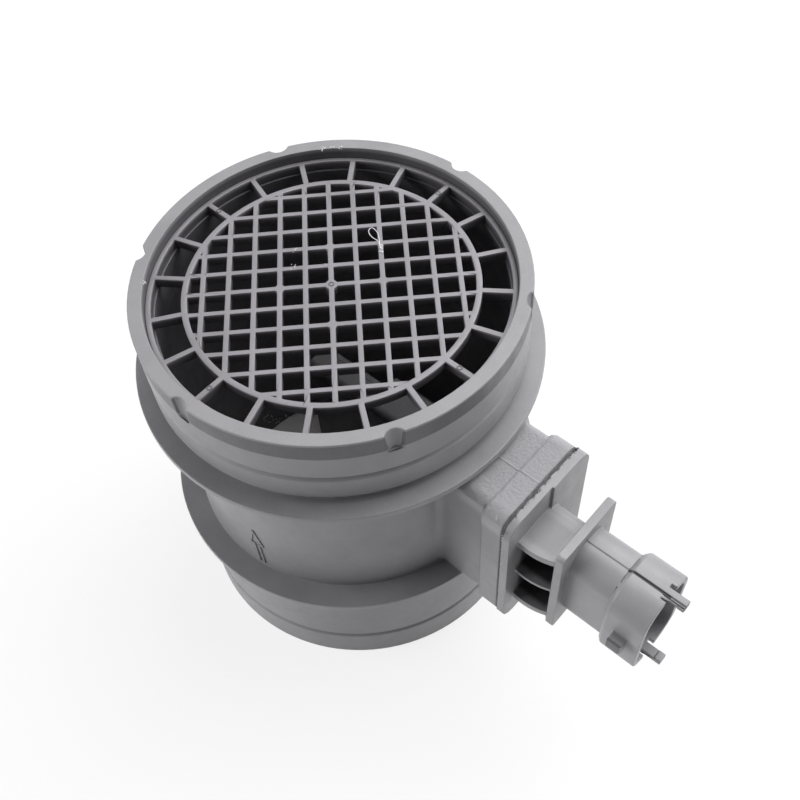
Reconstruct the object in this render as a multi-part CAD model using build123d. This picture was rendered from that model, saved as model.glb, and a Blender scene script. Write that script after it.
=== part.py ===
from build123d import *
import math
import os

# Plug-in mass airflow sensor in its own round air tube.
#
# Millimetres. Z runs up the tube's axis from its plain end to its grille end.
# X runs out along the electrical connector. The origin is on the tube's axis,
# in the plane of the plain end, so the tube stands on Z = 0.

# ---- Air tube: the mid body's radius, and how far all else stands from it ----
MID_BODY_RADIUS = 40.2
MID_BODY_WALL = 2.2
SPIGOT_PROUD = 2.75
SPIGOT_WALL = 2.75
SPIGOT_BEAD_PROUD = 0.25
SPIGOT_GROOVE_DEPTH = 0.65
LOWER_FLANGE_PROUD = 5.8
UPPER_FLANGE_PROUD = 6.2
UNDERCUT_PROUD = 1.0
RIM_PROUD = 2.5
RIM_WALL = 3.1
SEAL_GROOVE_DEPTH = 0.9

# ---- Air tube: heights, stacked from the plain end --------------------------
SPIGOT_BEAD_HEIGHT = 9.4
SPIGOT_GROOVE_WIDTH = 1.0
SPIGOT_HEIGHT = 32.2
LOWER_FLANGE_THICKNESS = 1.7
MID_BODY_HEIGHT = 41.6
UPPER_FLANGE_THICKNESS = 1.8
UNDERCUT_HEIGHT = 2.9
RIM_HEIGHT = 18.6
SEAL_GROOVE_DROP = 12.2
SEAL_GROOVE_WIDTH = 1.6
SPIGOT_BORE_DEPTH = 26.0

# ---- Notches in the rim -----------------------------------------------------
NOTCH_COUNT = 6
NOTCH_START_ANGLE = 30.0
NOTCH_RADIUS = 2.4
NOTCH_TOP_BITE = 1.4
NOTCH_FLOOR_BITE = 0.8
NOTCH_DEPTH = 5.3

# ---- Guard grille -----------------------------------------------------------
GRILLE_RECESS = 2.8
GRILLE_THICKNESS = 2.4
GRILLE_RADIAL_CLEARANCE = 0.1
GRILLE_SEAT_RING_WIDTH = 1.1
LATTICE_PITCH = 5.5
LATTICE_BAR_WIDTH = 1.1
LATTICE_RING_RADIUS = 31.35
LATTICE_RING_WIDTH = 1.3
LATTICE_ANGLE = 45.0
SPOKE_COUNT = 20
SPOKE_WIDTH = 1.2
BOSS_RADIUS = 1.55
NODE_PAD_RADIUS = 0.95
NODE_PAD_STEPS = 2

# ---- Port for the plug-in module -------------------------------------------
PORT_RISE = 18.6
PORT_BLOCK_Y = 0.6
PORT_NECK_HALF_WIDTH = 11.6
PORT_NECK_RISE = 20.9
PORT_NECK_DROP = 20.1
PORT_NECK_REACH = 10.4
PORT_NECK_EDGE_ROUND = 2.8
PORT_ROOT_FILLET = 2.5
COLLAR_HALF_WIDTH = 13.25
COLLAR_HALF_HEIGHT = 21.3
COLLAR_LENGTH = 6.3
COLLAR_CORNER = 3.9
COLLAR_BACK_BEVEL = 0.7
PORT_BORE_HALF_WIDTH = 7.4
PORT_BORE_HALF_HEIGHT = 17.0
PORT_BORE_CORNER = 3.0
SEALANT_SIZE = 0.55

# ---- Module body: flange, plug and probe ------------------------------------
MODULE_FLANGE_THICKNESS = 2.5
MODULE_FLANGE_OVERHANG = 0.45
END_FACE_STEP = 0.5
END_FACE_STEP_Y = 1.2
PLUG_CLEARANCE = 0.2
PLUG_LENGTH = 14.9
SEAL_SETBACK = 3.5
PORT_SEAL_WIDTH = 2.2
PORT_SEAL_THICKNESS = 1.7
SEAL_SIDE_CLEARANCE = 0.1
PROBE_BACK_Y = -5.2
PROBE_FRONT_Y = 5.2
PROBE_HALF_CHORD = 15.6
PROBE_OVERREACH = 7.0
PROBE_EDGE_ROUND = 2.0
TIP_LENGTH = 19.0
TIP_FACE_Y = 0.3

# ---- Module body: electronics well ------------------------------------------
WELL_FLOOR_Y = -3.2
WELL_HALF_HEIGHT = 12.5
WELL_LENGTH = 22.3
WELL_WALL = 2.5
LEDGE_LENGTH = 3.7
COVER_THICKNESS = 1.2
COVER_LIP = 1.4
COVER_CLEARANCE = 0.1
COVER_BEVEL = 0.3

# ---- Module body: measuring channel -----------------------------------------
CHANNEL_HALF_WIDTH = 3.2
CHANNEL_DEPTH = 3.8
CHANNEL_RISE = 8.0
CHANNEL_OUTLET_WIDTH = 5.0
CHANNEL_BEND_ROUND = 2.0
CHANNEL_COVER_THICKNESS = 1.4

# ---- Electronics ------------------------------------------------------------
CARRIER_THICKNESS = 1.0
CARRIER_CLEARANCE = 0.6
STRIP_HALF_WIDTH = 2.5
STRIP_THICKNESS = 1.2
STRIP_OVERREACH = 2.4
STRIP_LAP = 4.2
STRIP_CLEARANCE = 0.1
CHIP_LENGTH = 3.2
CHIP_HALF_WIDTH = 2.0
CHIP_THICKNESS = 0.4
CHIP_CLEARANCE = 0.05
BOARD_THICKNESS = 0.8
BOARD_HALF_HEIGHT = 10.5
BOARD_GAP = 0.8
CONTROL_CHIP_SIDE = 6.0
CONTROL_CHIP_THICKNESS = 1.0
CONTROL_CHIP_INSET = 4.6
CONTROL_CHIP_RISE = 3.0
CAPACITOR_LENGTH = 2.0
CAPACITOR_WIDTH = 1.25
CAPACITOR_COUNT = 2
CAPACITOR_PITCH = 3.2
CAPACITOR_DROP = 4.5
RIBBON_THICKNESS = 0.25
RIBBON_WIDTH = 0.8
RIBBON_FOOT = 0.8
RIBBON_ARCH = 0.9
RIBBON_SLOPE = 0.6
SENSOR_BOND_COUNT = 4
SENSOR_BOND_PITCH = 1.1
SENSOR_BOND_WIDTH = 0.4

# ---- Terminals --------------------------------------------------------------
TERMINAL_COUNT = 5
TERMINAL_PITCH = 3.5
TERMINAL_WIDTH = 1.5
TERMINAL_THICKNESS = 0.8
TERMINAL_LANDING = 3.0
TERMINAL_REACH = 9.5
TERMINAL_POINT = 0.3

# ---- Intake-air thermistor --------------------------------------------------
THERMISTOR_RADIUS = 1.2
THERMISTOR_LENGTH = 2.8
THERMISTOR_STANDOFF = 3.0
THERMISTOR_FROM_WALL = 11.4
LEG_THICKNESS = 0.5
LEG_SPREAD = 1.2
LEG_ROOT = 2.0

# ---- Connector --------------------------------------------------------------
NECK_LENGTH = 8.25
NECK_HALF_HEIGHT = 13.4
NECK_ROOT_Y = -9.9
NECK_WIDEST_Y = -10.05
NECK_END_Y = -8.85
NECK_WIDEST_AT = 3.8
NECK_BACK_Y = 3.8
NECK_BACK_ROUND = 2.8
NECK_WEB_Y = -1.6
NECK_SHELF_THICKNESS = 2.0
NECK_RIB_THICKNESS = 1.0
PLATE_THICKNESS = 2.05
PLATE_Y = 0.4
PLATE_HALF_WIDTH = 9.5
PLATE_HALF_HEIGHT = 16.35
PLATE_CORNER = 1.2
BARREL_LENGTH = 10.4
BARREL_HALF_WIDTH = 6.3
BARREL_HALF_HEIGHT = 13.2
BARREL_CORNER = 5.5
SHELL_LENGTH = 9.55
SHELL_HALF_WIDTH = 8.25
SHELL_HALF_HEIGHT = 13.6
SHELL_CORNER = 6.6
SHELL_BACK_CHAMFER = 0.9
SHELL_WALL = 1.5
SOCKET_DEPTH = 14.7
SOCKET_STEP = 1.4
SHELL_GROOVE_WIDTH = 0.6
SHELL_GROOVE_DEPTH = 0.45
SHELL_GROOVE_Y = -0.3
TOP_TAB_Y = 0.35
BOTTOM_TAB_Y = -1.0
TAB_WIDTH = 2.4
TAB_THICKNESS = 1.7
TAB_REACH = 3.65
TAB_RELIEF_WIDTH = 0.9
TAB_RELIEF_DEPTH = 1.3
LUG_LENGTH = 3.6
LUG_SETBACK = 3.2
LUG_HALF_HEIGHT = 1.7
LUG_REACH = 2.6
LUG_BEVEL = 0.6

# ---- Places worked out from the sizes ---------------------------------------
SPIGOT_RADIUS = MID_BODY_RADIUS + SPIGOT_PROUD
LOWER_FLANGE_RADIUS = MID_BODY_RADIUS + LOWER_FLANGE_PROUD
UPPER_FLANGE_RADIUS = MID_BODY_RADIUS + UPPER_FLANGE_PROUD
RIM_RADIUS = MID_BODY_RADIUS + RIM_PROUD
FLOW_BORE_RADIUS = MID_BODY_RADIUS - MID_BODY_WALL
SPIGOT_BORE_RADIUS = SPIGOT_RADIUS - SPIGOT_WALL
RIM_BORE_RADIUS = RIM_RADIUS - RIM_WALL

LOWER_FLANGE_TOP = SPIGOT_HEIGHT + LOWER_FLANGE_THICKNESS
UPPER_FLANGE_BOTTOM = LOWER_FLANGE_TOP + MID_BODY_HEIGHT
UPPER_FLANGE_TOP = UPPER_FLANGE_BOTTOM + UPPER_FLANGE_THICKNESS
RIM_WALL_BOTTOM = UPPER_FLANGE_TOP + UNDERCUT_HEIGHT
TUBE_TOP = RIM_WALL_BOTTOM + RIM_HEIGHT
GRILLE_TOP = TUBE_TOP - GRILLE_RECESS
GRILLE_BOTTOM = GRILLE_TOP - GRILLE_THICKNESS
PORT_Z = LOWER_FLANGE_TOP + PORT_RISE

COLLAR_X = MID_BODY_RADIUS + PORT_NECK_REACH
COLLAR_FACE_X = COLLAR_X + COLLAR_LENGTH
MODULE_FACE_X = COLLAR_FACE_X + MODULE_FLANGE_THICKNESS
PLUG_END_X = COLLAR_FACE_X - PLUG_LENGTH
SEAL_GROOVE_X = COLLAR_FACE_X - SEAL_SETBACK

TIP_X = -PROBE_OVERREACH
TIP_ROOT_X = TIP_X + TIP_LENGTH
WELL_START_X = TIP_ROOT_X + WELL_WALL
WELL_END_X = WELL_START_X + WELL_LENGTH
LEDGE_END_X = WELL_END_X + LEDGE_LENGTH
LEDGE_Y = -TERMINAL_THICKNESS / 2
COVER_SEAT_Y = PROBE_FRONT_Y - COVER_THICKNESS
COVER_SEAT_START_X = WELL_START_X - COVER_LIP
COVER_SEAT_END_X = LEDGE_END_X + COVER_LIP / 2
COVER_SEAT_HALF = WELL_HALF_HEIGHT + COVER_LIP

CARRIER_TOP_Y = WELL_FLOOR_Y + CARRIER_THICKNESS
CARRIER_START_X = WELL_START_X + CARRIER_CLEARANCE
CARRIER_END_X = WELL_END_X - CARRIER_CLEARANCE
STRIP_TOP_Y = CARRIER_TOP_Y + STRIP_THICKNESS
STRIP_END_X = CARRIER_START_X + STRIP_LAP
BOARD_START_X = STRIP_END_X + BOARD_GAP
BOARD_END_X = CARRIER_END_X - CARRIER_CLEARANCE
BOARD_TOP_Y = CARRIER_TOP_Y + BOARD_THICKNESS

PLATE_X = MODULE_FACE_X + NECK_LENGTH
BARREL_X = PLATE_X + PLATE_THICKNESS
SHELL_X = BARREL_X + BARREL_LENGTH
MOUTH_X = SHELL_X + SHELL_LENGTH
SOCKET_FLOOR_X = MOUTH_X - SOCKET_DEPTH
TERMINAL_START_X = LEDGE_END_X - TERMINAL_LANDING
TERMINAL_END_X = SOCKET_FLOOR_X + TERMINAL_REACH

OUTSIDE = 2.0


# ---- Shared shapes ----------------------------------------------------------
def block(x_span, y_span, z_span):
    """A box between pairs of limits along X, Y and Z."""
    spans = (x_span, y_span, z_span)
    sizes = [high - low for low, high in spans]
    middles = [(high + low) / 2 for low, high in spans]
    return Pos(*middles) * Box(*sizes)


def about_port(half_height):
    """Limits along Z that lie evenly about the port's centre line."""
    return (PORT_Z - half_height, PORT_Z + half_height)


def slab(x_start, x_end, half_width, half_height, corner, middle_y=0):
    """A rounded rectangle about the port's centre line, drawn out along X."""
    outline = RectangleRounded(2 * half_width, 2 * half_height, corner)
    section = Plane.YZ.offset(x_start) * Pos(middle_y, PORT_Z) * outline
    return extrude(section, x_end - x_start)


def frame(x_start, x_end, half_width, half_height, corner, thickness, middle_y=0):
    """A slab with a like slab taken out of it, leaving a rim of one thickness."""
    outer = slab(x_start, x_end, half_width, half_height, corner, middle_y)
    inner = slab(
        x_start - OUTSIDE,
        x_end + OUTSIDE,
        half_width - thickness,
        half_height - thickness,
        corner - thickness,
        middle_y,
    )
    return outer - inner


def rounded_at(face, places, radius):
    """The face with a radius at the corners nearest to the places given."""
    corners = [face.vertices().sort_by_distance(place)[0] for place in places]
    return fillet(corners, radius)


def half_section(points):
    """A closed outline of radius and height pairs, beside the tube's axis."""
    return make_face(Polyline([(r, 0, z) for r, z in points], close=True))


def turned(section):
    """The half section turned about the tube's axis."""
    return revolve(section, Axis.Z, 360)


# ---- Air tube ---------------------------------------------------------------
def tube_outside():
    """The tube's outer form as one solid of revolution."""
    bead_radius = SPIGOT_RADIUS + SPIGOT_BEAD_PROUD
    groove_middle = SPIGOT_BEAD_HEIGHT + SPIGOT_GROOVE_WIDTH / 2
    groove_top = SPIGOT_BEAD_HEIGHT + SPIGOT_GROOVE_WIDTH
    seal_middle = TUBE_TOP - SEAL_GROOVE_DROP
    section = half_section(
        [
            (0, 0),
            (bead_radius, 0),
            (bead_radius, SPIGOT_BEAD_HEIGHT),
            (SPIGOT_RADIUS - SPIGOT_GROOVE_DEPTH, groove_middle),
            (SPIGOT_RADIUS, groove_top),
            (SPIGOT_RADIUS, SPIGOT_HEIGHT),
            (LOWER_FLANGE_RADIUS, SPIGOT_HEIGHT),
            (LOWER_FLANGE_RADIUS, LOWER_FLANGE_TOP),
            (MID_BODY_RADIUS, LOWER_FLANGE_TOP),
            (MID_BODY_RADIUS, UPPER_FLANGE_BOTTOM),
            (UPPER_FLANGE_RADIUS, UPPER_FLANGE_BOTTOM),
            (UPPER_FLANGE_RADIUS, UPPER_FLANGE_TOP),
            (MID_BODY_RADIUS + UNDERCUT_PROUD, UPPER_FLANGE_TOP),
            (RIM_RADIUS, RIM_WALL_BOTTOM),
            (RIM_RADIUS, seal_middle - SEAL_GROOVE_WIDTH / 2),
            (RIM_RADIUS - SEAL_GROOVE_DEPTH, seal_middle),
            (RIM_RADIUS, seal_middle + SEAL_GROOVE_WIDTH / 2),
            (RIM_RADIUS, TUBE_TOP),
            (0, TUBE_TOP),
        ]
    )
    return turned(section)


def tube_inside():
    """The air passage, wider at its plain end, with the grille's seat above."""
    section = half_section(
        [
            (0, 0),
            (SPIGOT_BORE_RADIUS, 0),
            (SPIGOT_BORE_RADIUS, SPIGOT_BORE_DEPTH),
            (FLOW_BORE_RADIUS, SPIGOT_BORE_DEPTH),
            (FLOW_BORE_RADIUS, GRILLE_BOTTOM),
            (RIM_BORE_RADIUS, GRILLE_BOTTOM),
            (RIM_BORE_RADIUS, TUBE_TOP),
            (0, TUBE_TOP),
        ]
    )
    return turned(section)


def rim_notches():
    """Half-round scallops cut into the rim, shallower towards their floors."""
    lean = math.degrees(math.atan2(NOTCH_TOP_BITE - NOTCH_FLOOR_BITE, NOTCH_DEPTH))
    cutter = Cylinder(
        NOTCH_RADIUS,
        NOTCH_DEPTH + OUTSIDE,
        align=(Align.CENTER, Align.CENTER, Align.MIN),
    )
    floor_x = RIM_RADIUS - NOTCH_FLOOR_BITE + NOTCH_RADIUS
    scallop = Pos(floor_x, 0, TUBE_TOP - NOTCH_DEPTH) * Rot(0, -lean, 0) * cutter
    turn = 360 / NOTCH_COUNT
    return [
        Rot(0, 0, NOTCH_START_ANGLE + turn * place) * scallop
        for place in range(NOTCH_COUNT)
    ]


def port_neck():
    """The block that carries the port, flared where its sides leave the tube."""
    bottom = PORT_Z - PORT_NECK_DROP
    height = PORT_NECK_RISE + PORT_NECK_DROP
    end = COLLAR_X + COLLAR_LENGTH / 2
    sides = (PORT_BLOCK_Y - PORT_NECK_HALF_WIDTH, PORT_BLOCK_Y + PORT_NECK_HALF_WIDTH)
    arm = block((0, end), sides, (bottom, bottom + height))
    arm = fillet(arm.edges().filter_by(Axis.X), PORT_NECK_EDGE_ROUND)
    arm_plan = Pos(end / 2, PORT_BLOCK_Y) * Rectangle(end, 2 * PORT_NECK_HALF_WIDTH)
    roots = [(math.sqrt(MID_BODY_RADIUS**2 - y**2), y, 0) for y in sides]
    plan = rounded_at(Circle(MID_BODY_RADIUS) + arm_plan, roots, PORT_ROOT_FILLET)
    flare = extrude(plan, height - 2 * PORT_NECK_EDGE_ROUND)
    return arm + Pos(0, 0, bottom + PORT_NECK_EDGE_ROUND) * flare


def port_collar():
    """The thick square collar that the module's flange sits on."""
    collar = slab(
        COLLAR_X,
        COLLAR_FACE_X,
        COLLAR_HALF_WIDTH,
        COLLAR_HALF_HEIGHT,
        COLLAR_CORNER,
        PORT_BLOCK_Y,
    )
    back = collar.faces().sort_by(Axis.X)[0].edges()
    return chamfer(back, COLLAR_BACK_BEVEL)


def sealant_frame():
    """The bead that fills the rebate round the collar's end face."""
    return frame(
        COLLAR_FACE_X - SEALANT_SIZE,
        COLLAR_FACE_X,
        COLLAR_HALF_WIDTH,
        COLLAR_HALF_HEIGHT,
        COLLAR_CORNER,
        SEALANT_SIZE,
        PORT_BLOCK_Y,
    )


def make_tube_housing():
    """The one-piece moulded air tube with flanges, rim and module port."""
    port_bore = slab(
        FLOW_BORE_RADIUS / 2,
        COLLAR_FACE_X + OUTSIDE,
        PORT_BORE_HALF_WIDTH,
        PORT_BORE_HALF_HEIGHT,
        PORT_BORE_CORNER,
    )
    body = tube_outside() + port_neck() + port_collar()
    body -= tube_inside()
    body -= port_bore
    body -= sealant_frame()
    return body - rim_notches()


# ---- Guard grille -----------------------------------------------------------
def lattice_bars():
    """Two crossed sets of bars that fill the lattice ring."""
    reach = LATTICE_RING_RADIUS
    rows = int((reach - LATTICE_BAR_WIDTH) / LATTICE_PITCH)
    bars = Sketch()
    for row in range(-rows, rows + 1):
        offset = row * LATTICE_PITCH
        length = 2 * math.sqrt(reach**2 - offset**2)
        bars += Pos(0, offset) * Rectangle(length, LATTICE_BAR_WIDTH)
        bars += Pos(offset, 0) * Rectangle(LATTICE_BAR_WIDTH, length)
    return bars


def node_pads():
    """A centre boss and four small pads on the bars' crossings."""
    step = NODE_PAD_STEPS * LATTICE_PITCH
    pad = Circle(NODE_PAD_RADIUS)
    pads = Sketch() + Circle(BOSS_RADIUS)
    for x, y in ((step, 0), (-step, 0), (0, step), (0, -step)):
        pads += Pos(x, y) * pad
    return pads


def ring(radius, width):
    """A flat ring about a mean radius."""
    return Circle(radius + width / 2) - Circle(radius - width / 2)


def make_guard_grille():
    """The one-piece lattice guard that drops onto the seat inside the rim."""
    outer = RIM_BORE_RADIUS - GRILLE_RADIAL_CLEARANCE
    seat_ring_radius = outer - GRILLE_SEAT_RING_WIDTH / 2
    spoke_length = seat_ring_radius - LATTICE_RING_RADIUS
    spoke_middle = (seat_ring_radius + LATTICE_RING_RADIUS) / 2
    spoke = Pos(spoke_middle, 0) * Rectangle(spoke_length, SPOKE_WIDTH)
    plan = Rot(0, 0, LATTICE_ANGLE) * (lattice_bars() + node_pads())
    plan += ring(LATTICE_RING_RADIUS, LATTICE_RING_WIDTH)
    plan += ring(seat_ring_radius, GRILLE_SEAT_RING_WIDTH)
    for place in range(SPOKE_COUNT):
        plan += Rot(0, 0, place * 360 / SPOKE_COUNT) * spoke
    return Pos(0, 0, GRILLE_BOTTOM) * extrude(plan, GRILLE_THICKNESS)


# ---- Terminals --------------------------------------------------------------
def make_terminal(place):
    """One flat blade, from the well's ledge to the connector's socket."""
    middle = PORT_Z + (place - (TERMINAL_COUNT - 1) / 2) * TERMINAL_PITCH
    blade = block(
        (TERMINAL_START_X, TERMINAL_END_X),
        (-TERMINAL_THICKNESS / 2, TERMINAL_THICKNESS / 2),
        (middle - TERMINAL_WIDTH / 2, middle + TERMINAL_WIDTH / 2),
    )
    point = blade.faces().sort_by(Axis.X)[-1].edges()
    return chamfer(point, TERMINAL_POINT)


def terminal_heights():
    """Where each blade's centre line lies along Z."""
    first = PORT_Z - (TERMINAL_COUNT - 1) / 2 * TERMINAL_PITCH
    return [first + place * TERMINAL_PITCH for place in range(TERMINAL_COUNT)]


# ---- Module body ------------------------------------------------------------
def probe():
    """The blade that reaches into the air, thick behind and thin at its tip."""
    chord = about_port(PROBE_HALF_CHORD)
    stem = block((TIP_X, PLUG_END_X), (PROBE_BACK_Y, TIP_FACE_Y), chord)
    stem += block((TIP_ROOT_X, PLUG_END_X), (TIP_FACE_Y, PROBE_FRONT_Y), chord)
    backs = stem.edges().filter_by(Axis.X).group_by(Axis.Y)[0]
    stem = fillet(backs, PROBE_EDGE_ROUND)
    fronts = stem.edges().filter_by(Axis.X).group_by(Axis.Y)[-1]
    return fillet(fronts, (PROBE_HALF_CHORD - COVER_SEAT_HALF) / 2)


def plug():
    """The part of the module that fills the port, with its seal groove."""
    body = slab(
        PLUG_END_X,
        COLLAR_FACE_X,
        PORT_BORE_HALF_WIDTH - PLUG_CLEARANCE,
        PORT_BORE_HALF_HEIGHT - PLUG_CLEARANCE,
        PORT_BORE_CORNER - PLUG_CLEARANCE,
    )
    half = PORT_SEAL_WIDTH / 2 + SEAL_SIDE_CLEARANCE
    groove = frame(
        SEAL_GROOVE_X - half,
        SEAL_GROOVE_X + half,
        PORT_BORE_HALF_WIDTH,
        PORT_BORE_HALF_HEIGHT,
        PORT_BORE_CORNER,
        PORT_SEAL_THICKNESS,
    )
    return body - groove


def module_flange():
    """The flange that closes the port, with its end face stepped on one side."""
    half_width = COLLAR_HALF_WIDTH + MODULE_FLANGE_OVERHANG
    half_height = COLLAR_HALF_HEIGHT
    corner = COLLAR_CORNER + MODULE_FLANGE_OVERHANG
    flange = slab(
        COLLAR_FACE_X, MODULE_FACE_X, half_width, half_height, corner, PORT_BLOCK_Y
    )
    step = block(
        (MODULE_FACE_X - END_FACE_STEP, MODULE_FACE_X + OUTSIDE),
        (-half_width - OUTSIDE, END_FACE_STEP_Y),
        about_port(half_height + OUTSIDE),
    )
    return flange - step


def connector_neck():
    """A neck with its back closed and two deep pockets open at its front."""
    start = MODULE_FACE_X - END_FACE_STEP
    front = ThreePointArc(
        (start, NECK_ROOT_Y),
        (start + NECK_WIDEST_AT, NECK_WIDEST_Y),
        (PLATE_X, NECK_END_Y),
    )
    back = Polyline(front @ 0, (start, NECK_BACK_Y), (PLATE_X, NECK_BACK_Y), front @ 1)
    bottom = PORT_Z - NECK_HALF_HEIGHT
    plan = make_face(Curve() + [front, back])
    body = Pos(0, 0, bottom) * extrude(plan, 2 * NECK_HALF_HEIGHT)
    backs = body.edges().filter_by(Axis.X).group_by(Axis.Y)[-1]
    body = fillet(backs, NECK_BACK_ROUND)
    low = NECK_RIB_THICKNESS / 2
    high = NECK_HALF_HEIGHT - NECK_SHELF_THICKNESS
    depth = (NECK_WIDEST_Y - OUTSIDE, NECK_WEB_Y)
    body -= block((start, PLATE_X), depth, (PORT_Z + low, PORT_Z + high))
    body -= block((start, PLATE_X), depth, (PORT_Z - high, PORT_Z - low))
    return body


def socket_shell():
    """Plate, barrel and socket shell with its groove, tabs and latch lug."""
    body = slab(
        PLATE_X, BARREL_X, PLATE_HALF_WIDTH, PLATE_HALF_HEIGHT, PLATE_CORNER, PLATE_Y
    )
    body += slab(
        BARREL_X, SHELL_X, BARREL_HALF_WIDTH, BARREL_HALF_HEIGHT, BARREL_CORNER
    )
    shell = slab(SHELL_X, MOUTH_X, SHELL_HALF_WIDTH, SHELL_HALF_HEIGHT, SHELL_CORNER)
    back = shell.faces().sort_by(Axis.X)[0].edges()
    body += chamfer(back, SHELL_BACK_CHAMFER)
    body += guide_tabs()
    body += latch_lug()
    top = PORT_Z + SHELL_HALF_HEIGHT
    groove = block(
        (SHELL_X, MOUTH_X + TAB_REACH + OUTSIDE),
        (
            SHELL_GROOVE_Y - SHELL_GROOVE_WIDTH / 2,
            SHELL_GROOVE_Y + SHELL_GROOVE_WIDTH / 2,
        ),
        (top - SHELL_GROOVE_DEPTH, top + OUTSIDE),
    )
    return body - groove


def guide_tabs():
    """Two tongues that stand out of the mouth, at its top and its bottom."""
    tabs = []
    for side, middle_y in ((1, TOP_TAB_Y), (-1, BOTTOM_TAB_Y)):
        heights = (
            PORT_Z + side * SHELL_HALF_HEIGHT,
            PORT_Z + side * (SHELL_HALF_HEIGHT - TAB_THICKNESS),
        )
        tab = block(
            (MOUTH_X - SHELL_LENGTH / 2, MOUTH_X + TAB_REACH),
            (middle_y - TAB_WIDTH / 2, middle_y + TAB_WIDTH / 2),
            sorted(heights),
        )
        tabs.append(tab)
    return tabs


def tab_reliefs():
    """Small notches in the mouth on both sides of each tab."""
    notch = Box(2 * TAB_RELIEF_DEPTH, TAB_RELIEF_WIDTH, 2 * SHELL_WALL + OUTSIDE)
    beside = (TAB_WIDTH + TAB_RELIEF_WIDTH) / 2
    reliefs = []
    for side, middle_y in ((1, TOP_TAB_Y), (-1, BOTTOM_TAB_Y)):
        height = PORT_Z + side * SHELL_HALF_HEIGHT
        reliefs.append(Pos(MOUTH_X, middle_y - beside, height) * notch)
        reliefs.append(Pos(MOUTH_X, middle_y + beside, height) * notch)
    return reliefs


def latch_lug():
    """The lug on the shell's side that the mating plug's latch snaps over."""
    start = SHELL_X + LUG_SETBACK
    lug = block(
        (start, start + LUG_LENGTH),
        (-SHELL_HALF_WIDTH - LUG_REACH, -SHELL_HALF_WIDTH + SHELL_WALL / 2),
        about_port(LUG_HALF_HEIGHT),
    )
    outer = lug.faces().sort_by(Axis.Y)[0].edges().filter_by(Axis.Z)
    return chamfer(outer.sort_by(Axis.X)[-1], LUG_BEVEL)


def socket_cavity():
    """The open socket, narrower at its floor where the barrel is slimmer."""
    half_width = SHELL_HALF_WIDTH - SHELL_WALL
    half_height = SHELL_HALF_HEIGHT - SHELL_WALL
    corner = SHELL_CORNER - SHELL_WALL
    open_end = MOUTH_X + OUTSIDE
    wide = slab(SHELL_X + SOCKET_STEP, open_end, half_width, half_height, corner)
    narrow = slab(
        SOCKET_FLOOR_X,
        open_end,
        BARREL_HALF_WIDTH - SHELL_WALL,
        BARREL_HALF_HEIGHT - SHELL_WALL,
        BARREL_CORNER - SHELL_WALL,
    )
    return wide + narrow


def electronics_well():
    """The tray for the electronics, its terminal ledge and its cover's seat."""
    above = PROBE_FRONT_Y + OUTSIDE
    height = about_port(WELL_HALF_HEIGHT)
    well = block((WELL_START_X, WELL_END_X), (WELL_FLOOR_Y, above), height)
    well += block((WELL_END_X, LEDGE_END_X), (LEDGE_Y, above), height)
    well += block(
        (COVER_SEAT_START_X, COVER_SEAT_END_X),
        (COVER_SEAT_Y, above),
        about_port(COVER_SEAT_HALF),
    )
    return well


def measuring_channel():
    """The bypass that leads air over the sensing chip and out at the tip."""
    low = PORT_Z - PROBE_HALF_CHORD - OUTSIDE
    high = PORT_Z + CHANNEL_RISE
    column = Pos(0, (low + high) / 2) * Rectangle(2 * CHANNEL_HALF_WIDTH, high - low)
    left = TIP_X - OUTSIDE
    length = CHANNEL_HALF_WIDTH - left
    outlet_middle = ((CHANNEL_HALF_WIDTH + left) / 2, high - CHANNEL_OUTLET_WIDTH / 2)
    outlet = Pos(*outlet_middle) * Rectangle(length, CHANNEL_OUTLET_WIDTH)
    plan = Plane.XZ.offset(-TIP_FACE_Y) * (column + outlet)
    bends = [
        (CHANNEL_HALF_WIDTH, TIP_FACE_Y, high),
        (-CHANNEL_HALF_WIDTH, TIP_FACE_Y, high - CHANNEL_OUTLET_WIDTH),
    ]
    plan = rounded_at(plan, bends, CHANNEL_BEND_ROUND)
    return extrude(plan, CHANNEL_DEPTH)


def strip_passage():
    """The trough and the wall slot that the sensor strip lies in."""
    height = about_port(STRIP_HALF_WIDTH + STRIP_CLEARANCE)
    trough = block((0, TIP_ROOT_X), (CARRIER_TOP_Y, TIP_FACE_Y + OUTSIDE), height)
    slot = block(
        (0, WELL_START_X + CARRIER_CLEARANCE),
        (CARRIER_TOP_Y, STRIP_TOP_Y + STRIP_CLEARANCE),
        height,
    )
    return trough, slot


def make_module_body(inserts):
    """Flange, plug, probe and connector, moulded round its metal inserts."""
    body = probe() + plug() + module_flange() + connector_neck() + socket_shell()
    body -= socket_cavity()
    body -= tab_reliefs()
    body -= electronics_well()
    body -= measuring_channel()
    trough, slot = strip_passage()
    body -= trough
    body -= slot
    return body - inserts


# ---- Covers and seals -------------------------------------------------------
def make_electronics_cover():
    """The lid over the electronics well, flush with the probe's face."""
    lid = block(
        (COVER_SEAT_START_X + COVER_CLEARANCE, COVER_SEAT_END_X - COVER_CLEARANCE),
        (COVER_SEAT_Y, PROBE_FRONT_Y),
        about_port(COVER_SEAT_HALF - COVER_CLEARANCE),
    )
    rim = lid.faces().sort_by(Axis.Y)[-1].edges()
    return chamfer(rim, COVER_BEVEL)


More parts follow.
